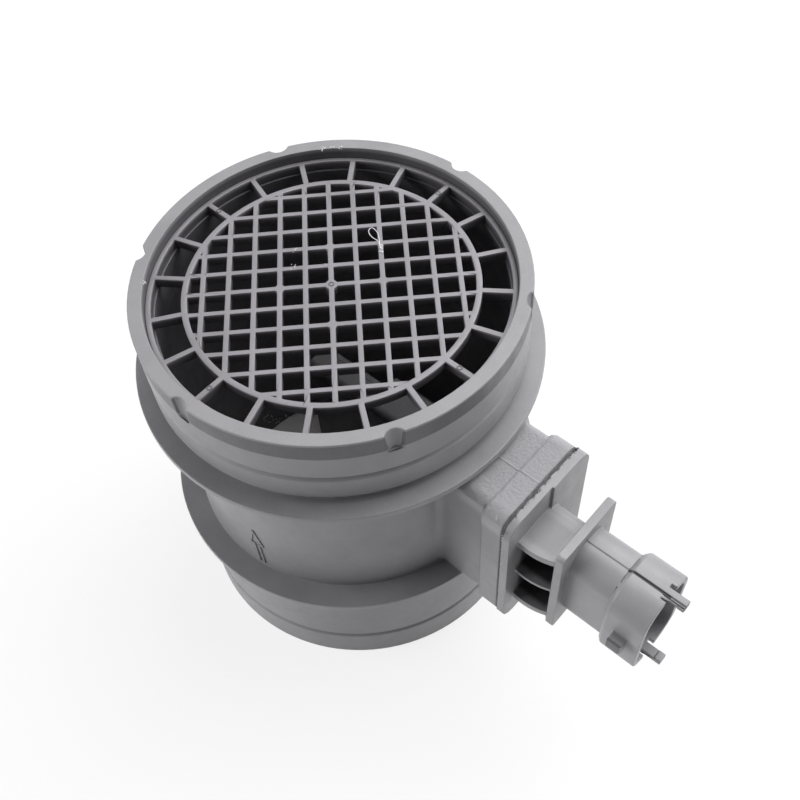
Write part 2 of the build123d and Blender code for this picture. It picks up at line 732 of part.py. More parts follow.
def make_channel_cover():
    """The plate that closes the measuring channel, with a rib over the strip."""
    face_y = TIP_FACE_Y + CHANNEL_COVER_THICKNESS
    plate = block(
        (TIP_X, TIP_ROOT_X - COVER_CLEARANCE),
        (TIP_FACE_Y, face_y),
        about_port(PROBE_HALF_CHORD),
    )
    rim = plate.faces().sort_by(Axis.Y)[-1].edges()
    plate = chamfer(rim, COVER_BEVEL)
    rib = block(
        (CHANNEL_HALF_WIDTH + COVER_CLEARANCE, TIP_ROOT_X - COVER_CLEARANCE),
        (STRIP_TOP_Y + STRIP_CLEARANCE, TIP_FACE_Y),
        about_port(STRIP_HALF_WIDTH),
    )
    return plate + rib


def make_port_seal():
    """The rubber ring in the plug's groove, pressed against the port's wall."""
    return frame(
        SEAL_GROOVE_X - PORT_SEAL_WIDTH / 2,
        SEAL_GROOVE_X + PORT_SEAL_WIDTH / 2,
        PORT_BORE_HALF_WIDTH,
        PORT_BORE_HALF_HEIGHT,
        PORT_BORE_CORNER,
        PORT_SEAL_THICKNESS,
    )


# ---- Electronics ------------------------------------------------------------
def make_carrier_plate():
    """The metal plate that carries the board and the sensor strip."""
    return block(
        (CARRIER_START_X, CARRIER_END_X),
        (WELL_FLOOR_Y, CARRIER_TOP_Y),
        about_port(WELL_HALF_HEIGHT - CARRIER_CLEARANCE),
    )


def chip_pocket(clearance):
    """The sensing chip's block, or its pocket when a clearance is given."""
    half_length = CHIP_LENGTH / 2 + clearance
    return block(
        (-half_length, half_length),
        (STRIP_TOP_Y - CHIP_THICKNESS, STRIP_TOP_Y),
        about_port(CHIP_HALF_WIDTH + clearance),
    )


def make_sensor_carrier():
    """The strip that holds the sensing chip out in the measuring channel."""
    strip = block(
        (-STRIP_OVERREACH, STRIP_END_X),
        (CARRIER_TOP_Y, STRIP_TOP_Y),
        about_port(STRIP_HALF_WIDTH),
    )
    return strip - chip_pocket(CHIP_CLEARANCE)


def make_circuit_board():
    """The ceramic board on the carrier plate."""
    return block(
        (BOARD_START_X, BOARD_END_X),
        (CARRIER_TOP_Y, BOARD_TOP_Y),
        about_port(BOARD_HALF_HEIGHT),
    )


def make_control_chip():
    """The control chip on the board."""
    start = BOARD_START_X + CONTROL_CHIP_INSET
    middle = PORT_Z + CONTROL_CHIP_RISE
    return block(
        (start, start + CONTROL_CHIP_SIDE),
        (BOARD_TOP_Y, BOARD_TOP_Y + CONTROL_CHIP_THICKNESS),
        (middle - CONTROL_CHIP_SIDE / 2, middle + CONTROL_CHIP_SIDE / 2),
    )


def make_capacitor(place):
    """One filter capacitor on the board."""
    start = BOARD_START_X + CONTROL_CHIP_INSET
    middle = PORT_Z - CAPACITOR_DROP - place * CAPACITOR_PITCH
    return block(
        (start, start + CAPACITOR_LENGTH),
        (BOARD_TOP_Y, BOARD_TOP_Y + CAPACITOR_WIDTH),
        (middle - CAPACITOR_WIDTH / 2, middle + CAPACITOR_WIDTH / 2),
    )


def ribbon(high_x, high_y, low_x, low_y, z, width):
    """A bent metal ribbon from a high flat to a lower one, feet lying flat."""
    lift = RIBBON_THICKNESS / 2
    top = high_y + lift + RIBBON_ARCH
    towards = math.copysign(1, low_x - high_x)
    points = [
        (high_x, high_y + lift, z),
        (high_x + towards * RIBBON_FOOT, high_y + lift, z),
        (high_x + towards * (RIBBON_FOOT + RIBBON_SLOPE), top, z),
        (low_x - towards * (RIBBON_FOOT + RIBBON_SLOPE), top, z),
        (low_x - towards * RIBBON_FOOT, low_y + lift, z),
        (low_x, low_y + lift, z),
    ]
    path = Polyline(*points)
    start = Plane(origin=path @ 0, x_dir=(0, 0, 1), z_dir=path % 0)
    section = start * Rectangle(width, RIBBON_THICKNESS)
    return sweep(section, path, transition=Transition.RIGHT)


def make_terminal_bonds():
    """Ribbons from the terminals' landings down to the board."""
    pad_y = TERMINAL_THICKNESS / 2
    start = TERMINAL_START_X + RIBBON_FOOT + RIBBON_THICKNESS
    end = BOARD_END_X - RIBBON_FOOT - RIBBON_THICKNESS
    ribbons = [
        ribbon(start, pad_y, end, BOARD_TOP_Y, z, RIBBON_WIDTH)
        for z in terminal_heights()
    ]
    return Compound(children=ribbons)


def make_sensor_bonds():
    """Finer ribbons from the sensor strip to the board."""
    start = STRIP_END_X - RIBBON_FOOT - 2 * RIBBON_THICKNESS
    end = BOARD_START_X + RIBBON_FOOT + 2 * RIBBON_THICKNESS
    first = PORT_Z - (SENSOR_BOND_COUNT - 1) / 2 * SENSOR_BOND_PITCH
    ribbons = [
        ribbon(
            start,
            STRIP_TOP_Y,
            end,
            BOARD_TOP_Y,
            first + place * SENSOR_BOND_PITCH,
            SENSOR_BOND_WIDTH,
        )
        for place in range(SENSOR_BOND_COUNT)
    ]
    return Compound(children=ribbons)


# ---- Thermistor -------------------------------------------------------------
THERMISTOR_X = FLOW_BORE_RADIUS - THERMISTOR_FROM_WALL
THERMISTOR_Z = PORT_Z - PROBE_HALF_CHORD - THERMISTOR_STANDOFF


def make_thermistor():
    """The small glass-bodied thermistor ahead of the probe's leading edge."""
    body = Rot(0, 90, 0) * Cylinder(THERMISTOR_RADIUS, THERMISTOR_LENGTH)
    return Pos(THERMISTOR_X, 0, THERMISTOR_Z) * body


def make_thermistor_leg(side):
    """One square leg, out of the probe's leading edge and round to the body."""
    end_x = THERMISTOR_X + side * THERMISTOR_LENGTH / 2
    leg_x = end_x + side * LEG_SPREAD
    root_z = PORT_Z - PROBE_HALF_CHORD + LEG_ROOT
    path = Polyline(
        (leg_x, 0, root_z), (leg_x, 0, THERMISTOR_Z), (end_x, 0, THERMISTOR_Z)
    )
    start = Plane(origin=path @ 0, z_dir=path % 0)
    section = start * Rectangle(LEG_THICKNESS, LEG_THICKNESS)
    return sweep(section, path, transition=Transition.RIGHT)


# ---- Assembly ---------------------------------------------------------------
def make_parts():
    """Every sub-part by its node name."""
    terminals = {
        f"terminal_{place + 1}": make_terminal(place)
        for place in range(TERMINAL_COUNT)
    }
    legs = {
        "thermistor_leg_inner": make_thermistor_leg(-1),
        "thermistor_leg_outer": make_thermistor_leg(1),
    }
    inserts = list(terminals.values()) + list(legs.values())
    parts = {
        "tube_housing": make_tube_housing(),
        "guard_grille": make_guard_grille(),
        "module_body": make_module_body(inserts),
        "electronics_cover": make_electronics_cover(),
        "channel_cover": make_channel_cover(),
        "port_seal": make_port_seal(),
        "joint_sealant": sealant_frame(),
        "carrier_plate": make_carrier_plate(),
        "circuit_board": make_circuit_board(),
        "control_chip": make_control_chip(),
        "sensor_carrier": make_sensor_carrier(),
        "sensor_chip": chip_pocket(0),
        "terminal_bonds": make_terminal_bonds(),
        "sensor_bonds": make_sensor_bonds(),
        "thermistor": make_thermistor(),
    }
    for place in range(CAPACITOR_COUNT):
        parts[f"filter_capacitor_{place + 1}"] = make_capacitor(place)
    parts.update(terminals)
    parts.update(legs)
    return parts


os.makedirs("parts", exist_ok=True)
for name, shape in make_parts().items():
    export_step(shape, f"parts/{name}.step")
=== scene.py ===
"""Looks for a plug-in mass airflow sensor in its own moulded air tube.

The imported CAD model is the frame. Each sub-assembly below is a class that copies its CAD nodes
into finished pieces with soft mould edges, or builds the small things the CAD leaves out: the
raised airflow arrow, the adhesive that squeezed out round the collar, the marks that ejector pins
left on the guard and the flecks of flash on it. Everything is in metres in the CAD's frame: Z runs
up the tube's axis from its plain end, and X runs out along the connector.
"""

import logging
import math
from dataclasses import dataclass
from enum import Enum
from functools import cached_property

import bmesh
import bpy
from bpy.types import Material, Mesh, Node, NodeSocket, NodeTree, Object, World
from mathutils import Euler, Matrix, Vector


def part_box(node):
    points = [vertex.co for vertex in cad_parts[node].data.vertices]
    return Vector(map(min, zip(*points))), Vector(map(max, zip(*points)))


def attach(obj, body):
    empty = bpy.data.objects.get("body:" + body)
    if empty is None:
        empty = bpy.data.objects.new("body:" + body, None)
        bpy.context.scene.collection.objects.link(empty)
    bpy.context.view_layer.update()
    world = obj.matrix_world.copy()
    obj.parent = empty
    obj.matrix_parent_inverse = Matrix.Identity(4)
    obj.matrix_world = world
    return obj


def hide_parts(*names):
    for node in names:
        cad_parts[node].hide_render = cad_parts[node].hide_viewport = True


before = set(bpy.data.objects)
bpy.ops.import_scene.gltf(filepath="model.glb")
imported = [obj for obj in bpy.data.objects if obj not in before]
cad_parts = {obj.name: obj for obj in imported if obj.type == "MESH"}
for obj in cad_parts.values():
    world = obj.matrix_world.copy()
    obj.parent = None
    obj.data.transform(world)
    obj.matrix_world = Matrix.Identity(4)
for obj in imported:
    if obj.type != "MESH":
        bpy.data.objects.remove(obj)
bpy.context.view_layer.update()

MM = 0.001
LOG = logging.getLogger("airflow_sensor")

Triple = tuple[float, float, float]
Pair = tuple[float, float]

CREASE_DEG = 32.0  # Edges that turn more than this are rounded, and stay sharp when smoothed.
EDGE_SEGMENTS = 2  # Faces across a rounded edge.
WELD_MM = 0.01  # Points nearer than this become one after a union.
CAD_WELD_MM = 0.002  # The same for a CAD node's own triangles.
FLAT_DEG = 0.6  # CAD triangles that meet flatter than this join into one face.
TUBE_REACH_MM = 60.0  # A box this wide to each side takes in the whole tube.
RIM_TOP_MM = 98.75  # Just under the tube's upper face.


# ---- Nodes ----------------------------------------------------------------------------------
def linear(colour: str) -> tuple[float, float, float, float]:
    """Turn an sRGB hex colour into linear RGBA.

    Args:
        colour: Six hex digits, such as "8c8b8f".

    Returns:
        Linear red, green and blue with an alpha of one.
    """
    channels = [int(colour[place : place + 2], 16) / 255 for place in (0, 2, 4)]
    red, green, blue = (
        c / 12.92 if c <= 0.04045 else ((c + 0.055) / 1.055) ** 2.4 for c in channels
    )
    return (red, green, blue, 1.0)


def add_node(tree: NodeTree, kind: str, wires: dict | None = None, **settings) -> Node:
    """Add a node with its settings, values and links.

    Args:
        tree: The node tree that takes the node.
        kind: Blender's name for the node type.
        wires: Input sockets by name or number, each with a value or an output socket to link.
        **settings: The node's own properties.

    Returns:
        The new node.
    """
    node = tree.nodes.new(kind)
    for key, value in settings.items():
        setattr(node, key, value)
    for socket, value in (wires or {}).items():
        if isinstance(value, NodeSocket):
            tree.links.new(value, node.inputs[socket])
        else:
            node.inputs[socket].default_value = value
    return node


def per_metre(size_mm: float) -> float:
    """Texture scale whose features are about size_mm across on object coordinates in metres."""
    return 1000.0 / size_mm


class NodeBuilder:
    """A node tree with short ways to add to it."""

    def __init__(self, tree: NodeTree) -> None:
        """Take the tree that is added to."""
        self.tree = tree

    def add(self, kind: str, wires: dict | None = None, **settings) -> NodeSocket:
        """Add a node and give its first output.

        Args:
            kind: Blender's name for the node type.
            wires: Input sockets by name or number, with values or sockets.
            **settings: The node's own properties.

        Returns:
            The node's first output socket.
        """
        return add_node(self.tree, kind, wires, **settings).outputs[0]

    def maths(self, operation: str, *values: NodeSocket | float) -> NodeSocket:
        """Add one step of arithmetic.

        Args:
            operation: Blender's name for the operation.
            *values: Its one to three values, in order.

        Returns:
            The result's socket.
        """
        return self.add("ShaderNodeMath", dict(enumerate(values)), operation=operation)

    def times(self, first: NodeSocket, *others: NodeSocket | float) -> NodeSocket:
        """Multiply a value by others in turn.

        Args:
            first: The first value.
            *others: What it is multiplied by.

        Returns:
            The product's socket.
        """
        for other in others:
            first = self.maths("MULTIPLY", first, other)
        return first


class ShaderTree(NodeBuilder):
    """The emptied node tree of a material or of the world."""

    def __init__(self, owner: Material | World) -> None:
        """Empty the owner's tree.

        Args:
            owner: The material or the world.
        """
        owner.use_nodes = True
        owner.node_tree.nodes.clear()
        super().__init__(owner.node_tree)

    @cached_property
    def place(self) -> NodeSocket:
        """Object coordinates, in metres."""
        return add_node(self.tree, "ShaderNodeTexCoord").outputs["Object"]

    @cached_property
    def axes(self) -> "bpy.types.bpy_prop_collection":
        """Object coordinates one by one, as outputs X, Y and Z."""
        return add_node(self.tree, "ShaderNodeSeparateXYZ", {"Vector": self.place}).outputs

    def noise(self, size_mm: float, detail: float, **more: float) -> NodeSocket:
        """Add a noise whose features have a real size.

        Args:
            size_mm: How far across its features are.
            detail: How many finer layers it has.
            **more: The noise's other inputs.

        Returns:
            The noise's socket.
        """
        wires = {"Vector": self.place, "Scale": per_metre(size_mm), "Detail": detail}
        return self.add("ShaderNodeTexNoise", wires | more)

    def remap(self, value: NodeSocket, before: Pair, after: Pair = (0.0, 1.0)) -> NodeSocket:
        """Map one range onto another and hold the value inside it.

        Args:
            value: What is mapped.
            before: The ends of its own range.
            after: What they become.

        Returns:
            The mapped value's socket.
        """
        wires = {"Value": value, "From Min": before[0], "From Max": before[1]}
        return self.add("ShaderNodeMapRange", wires | {"To Min": after[0], "To Max": after[1]})

    def blend(
        self, share: NodeSocket, first: NodeSocket | tuple, second: NodeSocket | tuple
    ) -> NodeSocket:
        """Blend two colours.

        Args:
            share: How much of the second colour there is.
            first: A linear colour or a socket.
            second: Another.

        Returns:
            The blended colour's socket.
        """
        wires = {"Factor": share, 6: first, 7: second}
        return add_node(self.tree, "ShaderNodeMix", wires, data_type="RGBA").outputs[2]

    def bump(self, height: NodeSocket, depth_mm: float, **below: NodeSocket) -> NodeSocket:
        """Turn a height into a normal.

        Args:
            height: The height, from zero to one.
            depth_mm: How high one is.
            **below: The normal that it lies on, as Normal.

        Returns:
            The normal's socket.
        """
        wires = {"Height": height, "Distance": depth_mm * MM}
        return self.add("ShaderNodeBump", wires | below)

    def end(self, kind: str, wires: dict, output: str = "ShaderNodeOutputMaterial") -> None:
        """End the tree with a shader and its output.

        Args:
            kind: Blender's name for the shader.
            wires: The shader's inputs.
            output: Blender's name for the output node.
        """
        add_node(self.tree, output, {"Surface": self.add(kind, wires)})


# ---- Finishes -------------------------------------------------------------------------------
class Texture(Enum):
    """How a mould's surface was cut, with the depth of the grain that it leaves in millimetres."""

    POLISHED = 0.010
    SATIN = 0.022


@dataclass(frozen=True)
class Zone:
    """A box in millimetres in which a surface differs from the rest: coarser grain, a parting
    line, or painted shade and light.
    """

    low: Triple
    high: Triple
    soft: float = 0.4

    @classmethod
    def level(cls, low_z: float, high_z: float, soft: float = 0.4) -> "Zone":
        """Make the box that takes in the whole tube between two heights.

        Args:
            low_z: The lower height.
            high_z: The upper height.
            soft: Half the width over which its edges fade.

        Returns:
            The zone.
        """
        side = TUBE_REACH_MM
        return cls((-side, -side, low_z), (side, side, high_z), soft)

    def mask(self, tree: ShaderTree) -> NodeSocket:
        """Build a mask that is one inside the box.

        Args:
            tree: The material's tree.

        Returns:
            The mask's socket.
        """
        edges = []
        for axis, low, high in zip("XYZ", self.low, self.high):
            for edge, turn in ((low, 1), (high, -1)):
                fade = ((edge - turn * self.soft) * MM, (edge + turn * self.soft) * MM)
                edges.append(tree.remap(tree.axes[axis], fade))
        return tree.times(*edges)


@dataclass(frozen=True)
class PaintedTone:
    """A tone painted on part of a surface, mostly painted shade and light: a box, between two
    radii from the tube's axis.
    """

    zone: Zone
    colour: str
    radii_mm: Pair = (-1.0, 1000.0)

    def mask(self, tree: ShaderTree) -> NodeSocket:
        """Build a mask that is one on the painted tone.

        Args:
            tree: The material's tree.

        Returns:
            The mask's socket.
        """
        wires = {0: tree.place, 1: (1.0, 1.0, 0.0)}
        flat = tree.add("ShaderNodeVectorMath", wires, operation="MULTIPLY")
        length = add_node(tree.tree, "ShaderNodeVectorMath", {0: flat}, operation="LENGTH")
        radius = length.outputs["Value"]
        beyond = tree.maths("GREATER_THAN", radius, self.radii_mm[0] * MM)
        within = tree.maths("LESS_THAN", radius, self.radii_mm[1] * MM)
        return tree.times(self.zone.mask(tree), beyond, within)


@dataclass(frozen=True)
class Seam:
    """A parting line along X, where two halves of a mould met."""

    middle_y_mm: float
    zone: Zone
    half_mm: Pair = (0.1, 0.28)
    height_mm: float = 0.12

    def ridge(self, tree: ShaderTree) -> NodeSocket:
        """Build the line's height, which is one on its crest.

        Args:
            tree: The material's tree.

        Returns:
            The height's socket.
        """
        away = tree.maths("SUBTRACT", tree.axes["Y"], self.middle_y_mm * MM)
        crest, foot = (half * MM for half in self.half_mm)
        ridge = tree.remap(tree.maths("ABSOLUTE", away), (crest, foot), (1.0, 0.0))
        return tree.times(ridge, self.zone.mask(tree))


@dataclass(frozen=True)
class MouldedPlastic:
    """Glass-filled plastic as it leaves the mould: satin, faintly clouded, with fine grain.

    Fibre ends are about 0.01 mm wide; they are drawn wider so that they show.
    """

    name: str
    colour: str
    cloud_colour: str
    roughness: float = 0.42
    gloss_mm: float = 3.0
    texture: Texture = Texture.SATIN
    grain_mm: float = 0.45
    cloud_mm: float = 14.0
    fibre_mm: float = 0.3
    fibre_colour: str = "d2d0d4"
    coarse: Zone | None = None
    pit_mm: float = 0.8
    pit_depth_mm: float = 0.5
    painted_tones: tuple[PaintedTone, ...] = ()
    seams: tuple[Seam, ...] = ()

    def material(self) -> Material:
        """Build the plastic's node tree.

        Returns:
            The finished material.
        """
        material = bpy.data.materials.new(self.name)
        tree = ShaderTree(material)
        gloss = tree.noise(self.gloss_mm, detail=3.0)
        rough = tree.remap(gloss, (0.3, 0.7), (self.roughness - 0.05, self.roughness + 0.06))
        wires = {
            "Base Color": self._colour(tree),
            "Roughness": rough,
            "Normal": self._relief(tree),
            "IOR": 1.55,
            "Specular IOR Level": 0.36,
        }
        tree.end("ShaderNodeBsdfPrincipled", wires)
        return material

    def _colour(self, tree: ShaderTree) -> NodeSocket:
        """Cloud the plastic's colour, lay on its painted shade and light, and speckle it with
        fibre ends.

        Args:
            tree: The material's tree.

        Returns:
            The colour's socket.
        """
        cloud = tree.remap(tree.noise(self.cloud_mm, detail=5.0), (0.35, 0.65))
        colour = tree.blend(cloud, linear(self.colour), linear(self.cloud_colour))
        for painted_tone in self.painted_tones:
            colour = tree.blend(painted_tone.mask(tree), colour, linear(painted_tone.colour))
        ends = tree.remap(tree.noise(self.fibre_mm, detail=1.0), (0.64, 0.8), (0.0, 0.16))
        return tree.blend(ends, colour, linear(self.fibre_colour))

    def _relief(self, tree: ShaderTree) -> NodeSocket:
        """Bump for fine grain, the coarse spark-eroded zone and the parting lines.

        Args:
            tree: The material's tree.

        Returns:
            The normal's socket.
        """
        normal = tree.bump(tree.noise(self.grain_mm, detail=4.0), self.texture.value)
        if self.coarse:
            pits = tree.noise(self.pit_mm, detail=6.0, Roughness=0.75)
            depth = tree.times(pits, self.coarse.mask(tree))
            normal = tree.bump(depth, self.pit_depth_mm, Normal=normal)
        for seam in self.seams:
            normal = tree.bump(seam.ridge(tree), seam.height_mm, Normal=normal)
        return normal


@dataclass(frozen=True)
class SimpleFinish:
    """A small part's finish: a colour that drifts a little, with a fine surface."""

    name: str
    colour: str
    drift_colour: str
    roughness: float
    metallic: float = 0.0
    drift_mm: float = 4.0
    grain_mm: float = 0.3
    grain_depth_mm: float = 0.01

    def material(self) -> Material:
        """Build the finish's node tree.

        Returns:
            The finished material.
        """
        material = bpy.data.materials.new(self.name)
        tree = ShaderTree(material)
        drift = tree.noise(self.drift_mm, detail=4.0)
        spread = (self.roughness - 0.06, self.roughness + 0.06)
        wires = {
            "Base Color": tree.blend(drift, linear(self.colour), linear(self.drift_colour)),
            "Roughness": tree.remap(drift, (0.0, 1.0), spread),
            "Normal": tree.bump(tree.noise(self.grain_mm, detail=3.0), self.grain_depth_mm),
            "Metallic": self.metallic,
        }
        tree.end("ShaderNodeBsdfPrincipled", wires)
        return material


# Grey glass-filled nylon, injection moulded: satin and a little cloudy, with a darker band painted
# round the outside of the mouth, coarse spark-eroded grain on the port's block and the mould's
# parting line along it. The darker shades in the bore are painted shadow, and the lighter shade on
# the port's top is painted light.
BORE_SHADE = "504f53"
TUBE_NYLON = MouldedPlastic(
    name="glass_filled_nylon_moulded",
    colour="807f82",
    cloud_colour="89888b",
    coarse=Zone((38.0, -12.2, 71.6), (56.4, 13.4, 76.0)),
    painted_tones=(
        PaintedTone(Zone.level(94.0, 98.3, 0.12), "57565a", (42.2, 60.0)),
        # Painted shadow deeper in the bore.
        PaintedTone(Zone.level(-9.0, 24.0), BORE_SHADE, (-1.0, 41.5)),
        PaintedTone(Zone.level(24.0, 86.0), BORE_SHADE, (-1.0, 39.1)),
        PaintedTone(Zone.level(86.0, 97.9), BORE_SHADE, (-1.0, 40.6)),
        # Painted light on the port's top.
        PaintedTone(Zone((44.0, -14.0, 69.4), (57.2, 15.0, 76.0), 1.2), "a09fa3"),
    ),
    seams=(Seam(0.2, Zone((38.0, -2.0, 70.0), (56.5, 2.0, 76.0))),),
)
# The same nylon in the drop-in guard, from a polished tool, so its bars catch more light. A darker
# shade on their lower halves deepens the shadow inside.
GUARD_NYLON = MouldedPlastic(
    name="glass_filled_nylon_guard",
    colour="7b797d",
    cloud_colour="848287",
    roughness=0.38,
    texture=Texture.POLISHED,
    painted_tones=(PaintedTone(Zone.level(90.0, 95.5, 0.3), "514f53"),),
)
# Grey glass-filled polyester of the module and its connector: a finer grain than the tube's and a
# parting line along the top of the barrel. Darker shades deepen the shadow on the probe, in the
# neck's pockets, on the latch lug's face, in the shell's groove and along the parting line.
MODULE_POLYESTER = MouldedPlastic(
    name="glass_filled_polyester_moulded",
    colour="858487",
    cloud_colour="8e8d90",
    roughness=0.4,
    texture=Texture.POLISHED,
    grain_mm=0.35,
    painted_tones=(
        PaintedTone(Zone((-60.0, -20.0, 0.0), (39.0, 20.0, 90.0)), "464548"),
        PaintedTone(Zone((58.4, -8.0, 40.6), (66.8, -0.6, 65.6), 0.6), "333235"),
        PaintedTone(Zone((82.7, -12.0, 50.6), (86.6, -10.3, 54.4), 0.2), "545356"),
        PaintedTone(Zone((79.9, -0.64, 64.5), (89.8, 0.04, 65.95), 0.06), "2c2b2e"),
        PaintedTone(Zone((69.6, -0.46, 64.8), (80.2, -0.14, 66.2), 0.08), "5b5a5d"),
    ),
    seams=(Seam(-0.3, Zone((69.5, -2.0, 64.5), (80.5, 2.0, 67.0))),),
)
# Cured black silicone adhesive, squeezed out and rubbed: uneven, half matt.
ADHESIVE = SimpleFinish(
    "silicone_adhesive_cured", "1d1c1e", "55535a", 0.5, drift_mm=1.6, grain_depth_mm=0.05
)
# Moulded EPDM rubber: dull black with a fine powdery skin.
SEAL_RUBBER = SimpleFinish("epdm_rubber_moulded", "161616", "222222", 0.75)
# Rolled aluminium plate: pale metal with a light brushed variation.
CARRIER_METAL = SimpleFinish("aluminium_plate_rolled", "c9cacc", "b9babd", 0.34, metallic=1.0)
# Fired alumina substrate: chalky white, nearly matt.
BOARD_CERAMIC = SimpleFinish("alumina_substrate_fired", "dcdad2", "cfcdc4", 0.6)
# Etched silicon die: dark blue-grey mirror.
CHIP_SILICON = SimpleFinish("silicon_die_etched", "3a3f4c", "474d5c", 0.12, metallic=1.0)
# Transfer-moulded epoxy package: flat black.
CHIP_EPOXY = SimpleFinish("epoxy_package_moulded", "1b1b1c", "262627", 0.55)
# Fired barium titanate body: warm tan, slightly glossy.
CAPACITOR_CERAMIC = SimpleFinish("barium_titanate_fired", "a58a64", "98805e", 0.4)
# Tin-plated brass strip: soft grey metal with small dull patches.
TERMINAL_TIN = SimpleFinish("tin_plated_brass", "c6c3bb", "aca9a2", 0.3, metallic=1.0)
# Drawn aluminium ribbon: bright metal.
BOND_ALUMINIUM = SimpleFinish("aluminium_ribbon_drawn", "d8d8da", "cbcbce", 0.25, metallic=1.0)
# Fused glass bead over the thermistor: a dark, glossy skin.
BEAD_GLASS = SimpleFinish("glass_bead_fused", "4a3a2c", "5a4836", 0.1)
# Nylon where an ejector pin pushed: smoother, and darker as painted shade of the pin's dimple.
PIN_MARK_SHADE = SimpleFinish("nylon_pin_mark_painted_shade", "565458", "4a484c", 0.35)
# Thin nylon flash, stretched, torn and scraped until it turned white.
FLASH_NYLON = SimpleFinish("nylon_flash_scraped", "e9e8ea", "d5d4d8", 0.6)


# ---- Mesh helpers ---------------------------------------------------------------------------
def settle(piece: Object, finish: Material | None = None) -> Object:
    """Give a finished piece its body and, unless it has one, its material.

    Args:
        piece: The piece, with its place in its mesh.
        finish: The material that covers it, where its mesh has none yet.

    Returns:
        The same piece.
    """
    if finish:
        piece.data.materials.clear()
        piece.data.materials.append(finish)
    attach(piece, "root")
    LOG.info("%s: %d faces", piece.name, len(piece.data.polygons))
    return piece


def new_piece(name: str, mesh: Mesh) -> Object:
    """Link a mesh into the scene as an object at the origin."""
    piece = bpy.data.objects.new(name, mesh)
    bpy.context.scene.collection.objects.link(piece)
    return piece


def evaluated_mesh(drawn: Object) -> Mesh:
    """Copy the mesh that an object's modifiers or its curve make of it."""
    view = bpy.context.evaluated_depsgraph_get()
    view.update()
    return bpy.data.meshes.new_from_object(drawn.evaluated_get(view))


def plain(piece: Object) -> Object:
    """Replace a piece's mesh and modifiers by the plain mesh that they make."""
    finished = evaluated_mesh(piece)
    piece.modifiers.clear()
    piece.data = finished
    return piece


def baked(piece: Object) -> Object:
    """Turn a piece and its modifiers into a plain smooth mesh.

    Args:
        piece: The piece with its modifiers.

    Returns:
        The same piece, with no modifiers.
    """
    finished = plain(piece).data
    for face in finished.polygons:
        face.use_smooth = True
    finished.set_sharp_from_angle(angle=math.radians(CREASE_DEG))
    return piece


def weld_near_points(piece: Object) -> None:
    """Weld the near points that a union leaves, so that edges round cleanly.

    Args:
        piece: The piece whose mesh is cleaned.
    """
    build = bmesh.new()
    build.from_mesh(piece.data)
    bmesh.ops.remove_doubles(build, verts=build.verts, dist=WELD_MM * MM)
    bmesh.ops.dissolve_degenerate(build, dist=WELD_MM * MM, edges=build.edges)
    build.to_mesh(piece.data)
    build.free()


def round_edges(piece: Object, edge_mm: float) -> None:
    """Add the small radius that a mould leaves on its edges.

    Args:
        piece: The piece that takes the modifier.
        edge_mm: Width of the rounded edges.
    """
    bevel = piece.modifiers.new("mould_edges", "BEVEL")
    bevel.width = edge_mm * MM
    bevel.segments = EDGE_SEGMENTS
    bevel.limit_method = "ANGLE"
    bevel.angle_limit = math.radians(CREASE_DEG)
    bevel.use_clamp_overlap = False
    bevel.miter_outer = "MITER_SHARP"


class GeometryTree(NodeBuilder):
    """A Geometry Nodes tree with named inputs, grown into a plain mesh."""

    SOCKETS = {
        float: "NodeSocketFloat",
        int: "NodeSocketInt",
        tuple: "NodeSocketVector",
        Material: "NodeSocketMaterial",
    }

    def __init__(self, name: str, inputs: dict) -> None:
        """Open the tree and give it its inputs.

        Args:
            name: The tree's name.
            inputs: Each input's name and value; lengths are in metres.
        """
        super().__init__(bpy.data.node_groups.new(name, "GeometryNodeTree"))
        self.name = name
        self.inputs = inputs
        face = self.tree.interface
        face.new_socket("Geometry", in_out="INPUT", socket_type="NodeSocketGeometry")
        face.new_socket("Geometry", in_out="OUTPUT", socket_type="NodeSocketGeometry")
        for label, value in inputs.items():
            face.new_socket(label, in_out="INPUT", socket_type=self.SOCKETS[type(value)])
        self.start = self.tree.nodes.new("NodeGroupInput")

    def __getitem__(self, label: str) -> NodeSocket:
        """Give one of the tree's inputs by name."""
        return self.start.outputs[label]

    def join(self, *shapes: NodeSocket) -> NodeSocket:
        """Join several geometries into one."""
        node = self.tree.nodes.new("GeometryNodeJoinGeometry")
        for shape in shapes:
            self.tree.links.new(shape, node.inputs[0])
        return node.outputs[0]

    def circle(self, sides: int, radius: NodeSocket) -> NodeSocket:
        """Draw a circle of straight sides."""
        wires = {"Resolution": sides, "Radius": radius}
        return self.add("GeometryNodeCurvePrimitiveCircle", wires)

    def swept(self, path: NodeSocket, section: NodeSocket) -> NodeSocket:
        """Sweep a section along a path."""
        return self.add("GeometryNodeCurveToMesh", {"Curve": path, "Profile Curve": section})

    def grow(
        self, shape: NodeSocket, seeds: list[Vector] | None = None, edge_mm: float = 0.0
    ) -> Object:
        """End the tree, run it and keep its mesh.

        Args:
            shape: The geometry that the tree ends with.
            seeds: Points in metres that stand at the tree's start.
            edge_mm: Width of the rounded edges, or none.

        Returns:
            The grown piece.
        """
        whole = self.add("GeometryNodeRealizeInstances", {"Geometry": shape})
        wires = {"Geometry": whole, "Material": self["Material"]}
        dressed = self.add("GeometryNodeSetMaterial", wires)
        end = self.tree.nodes.new("NodeGroupOutput")
        self.tree.links.new(dressed, end.inputs[0])
        mesh = bpy.data.meshes.new(self.name)
        mesh.from_pydata(seeds or [], [], [])
        piece = new_piece(self.name, mesh)
        grown = piece.modifiers.new(self.name, "NODES")
        grown.node_group = self.tree
        for item in self.tree.interface.items_tree:
            if item.in_out == "INPUT" and item.name in self.inputs:
                grown[item.identifier] = self.inputs[item.name]
        if edge_mm:
            weld_near_points(baked(piece))
            round_edges(piece, edge_mm)
        return baked(piece)


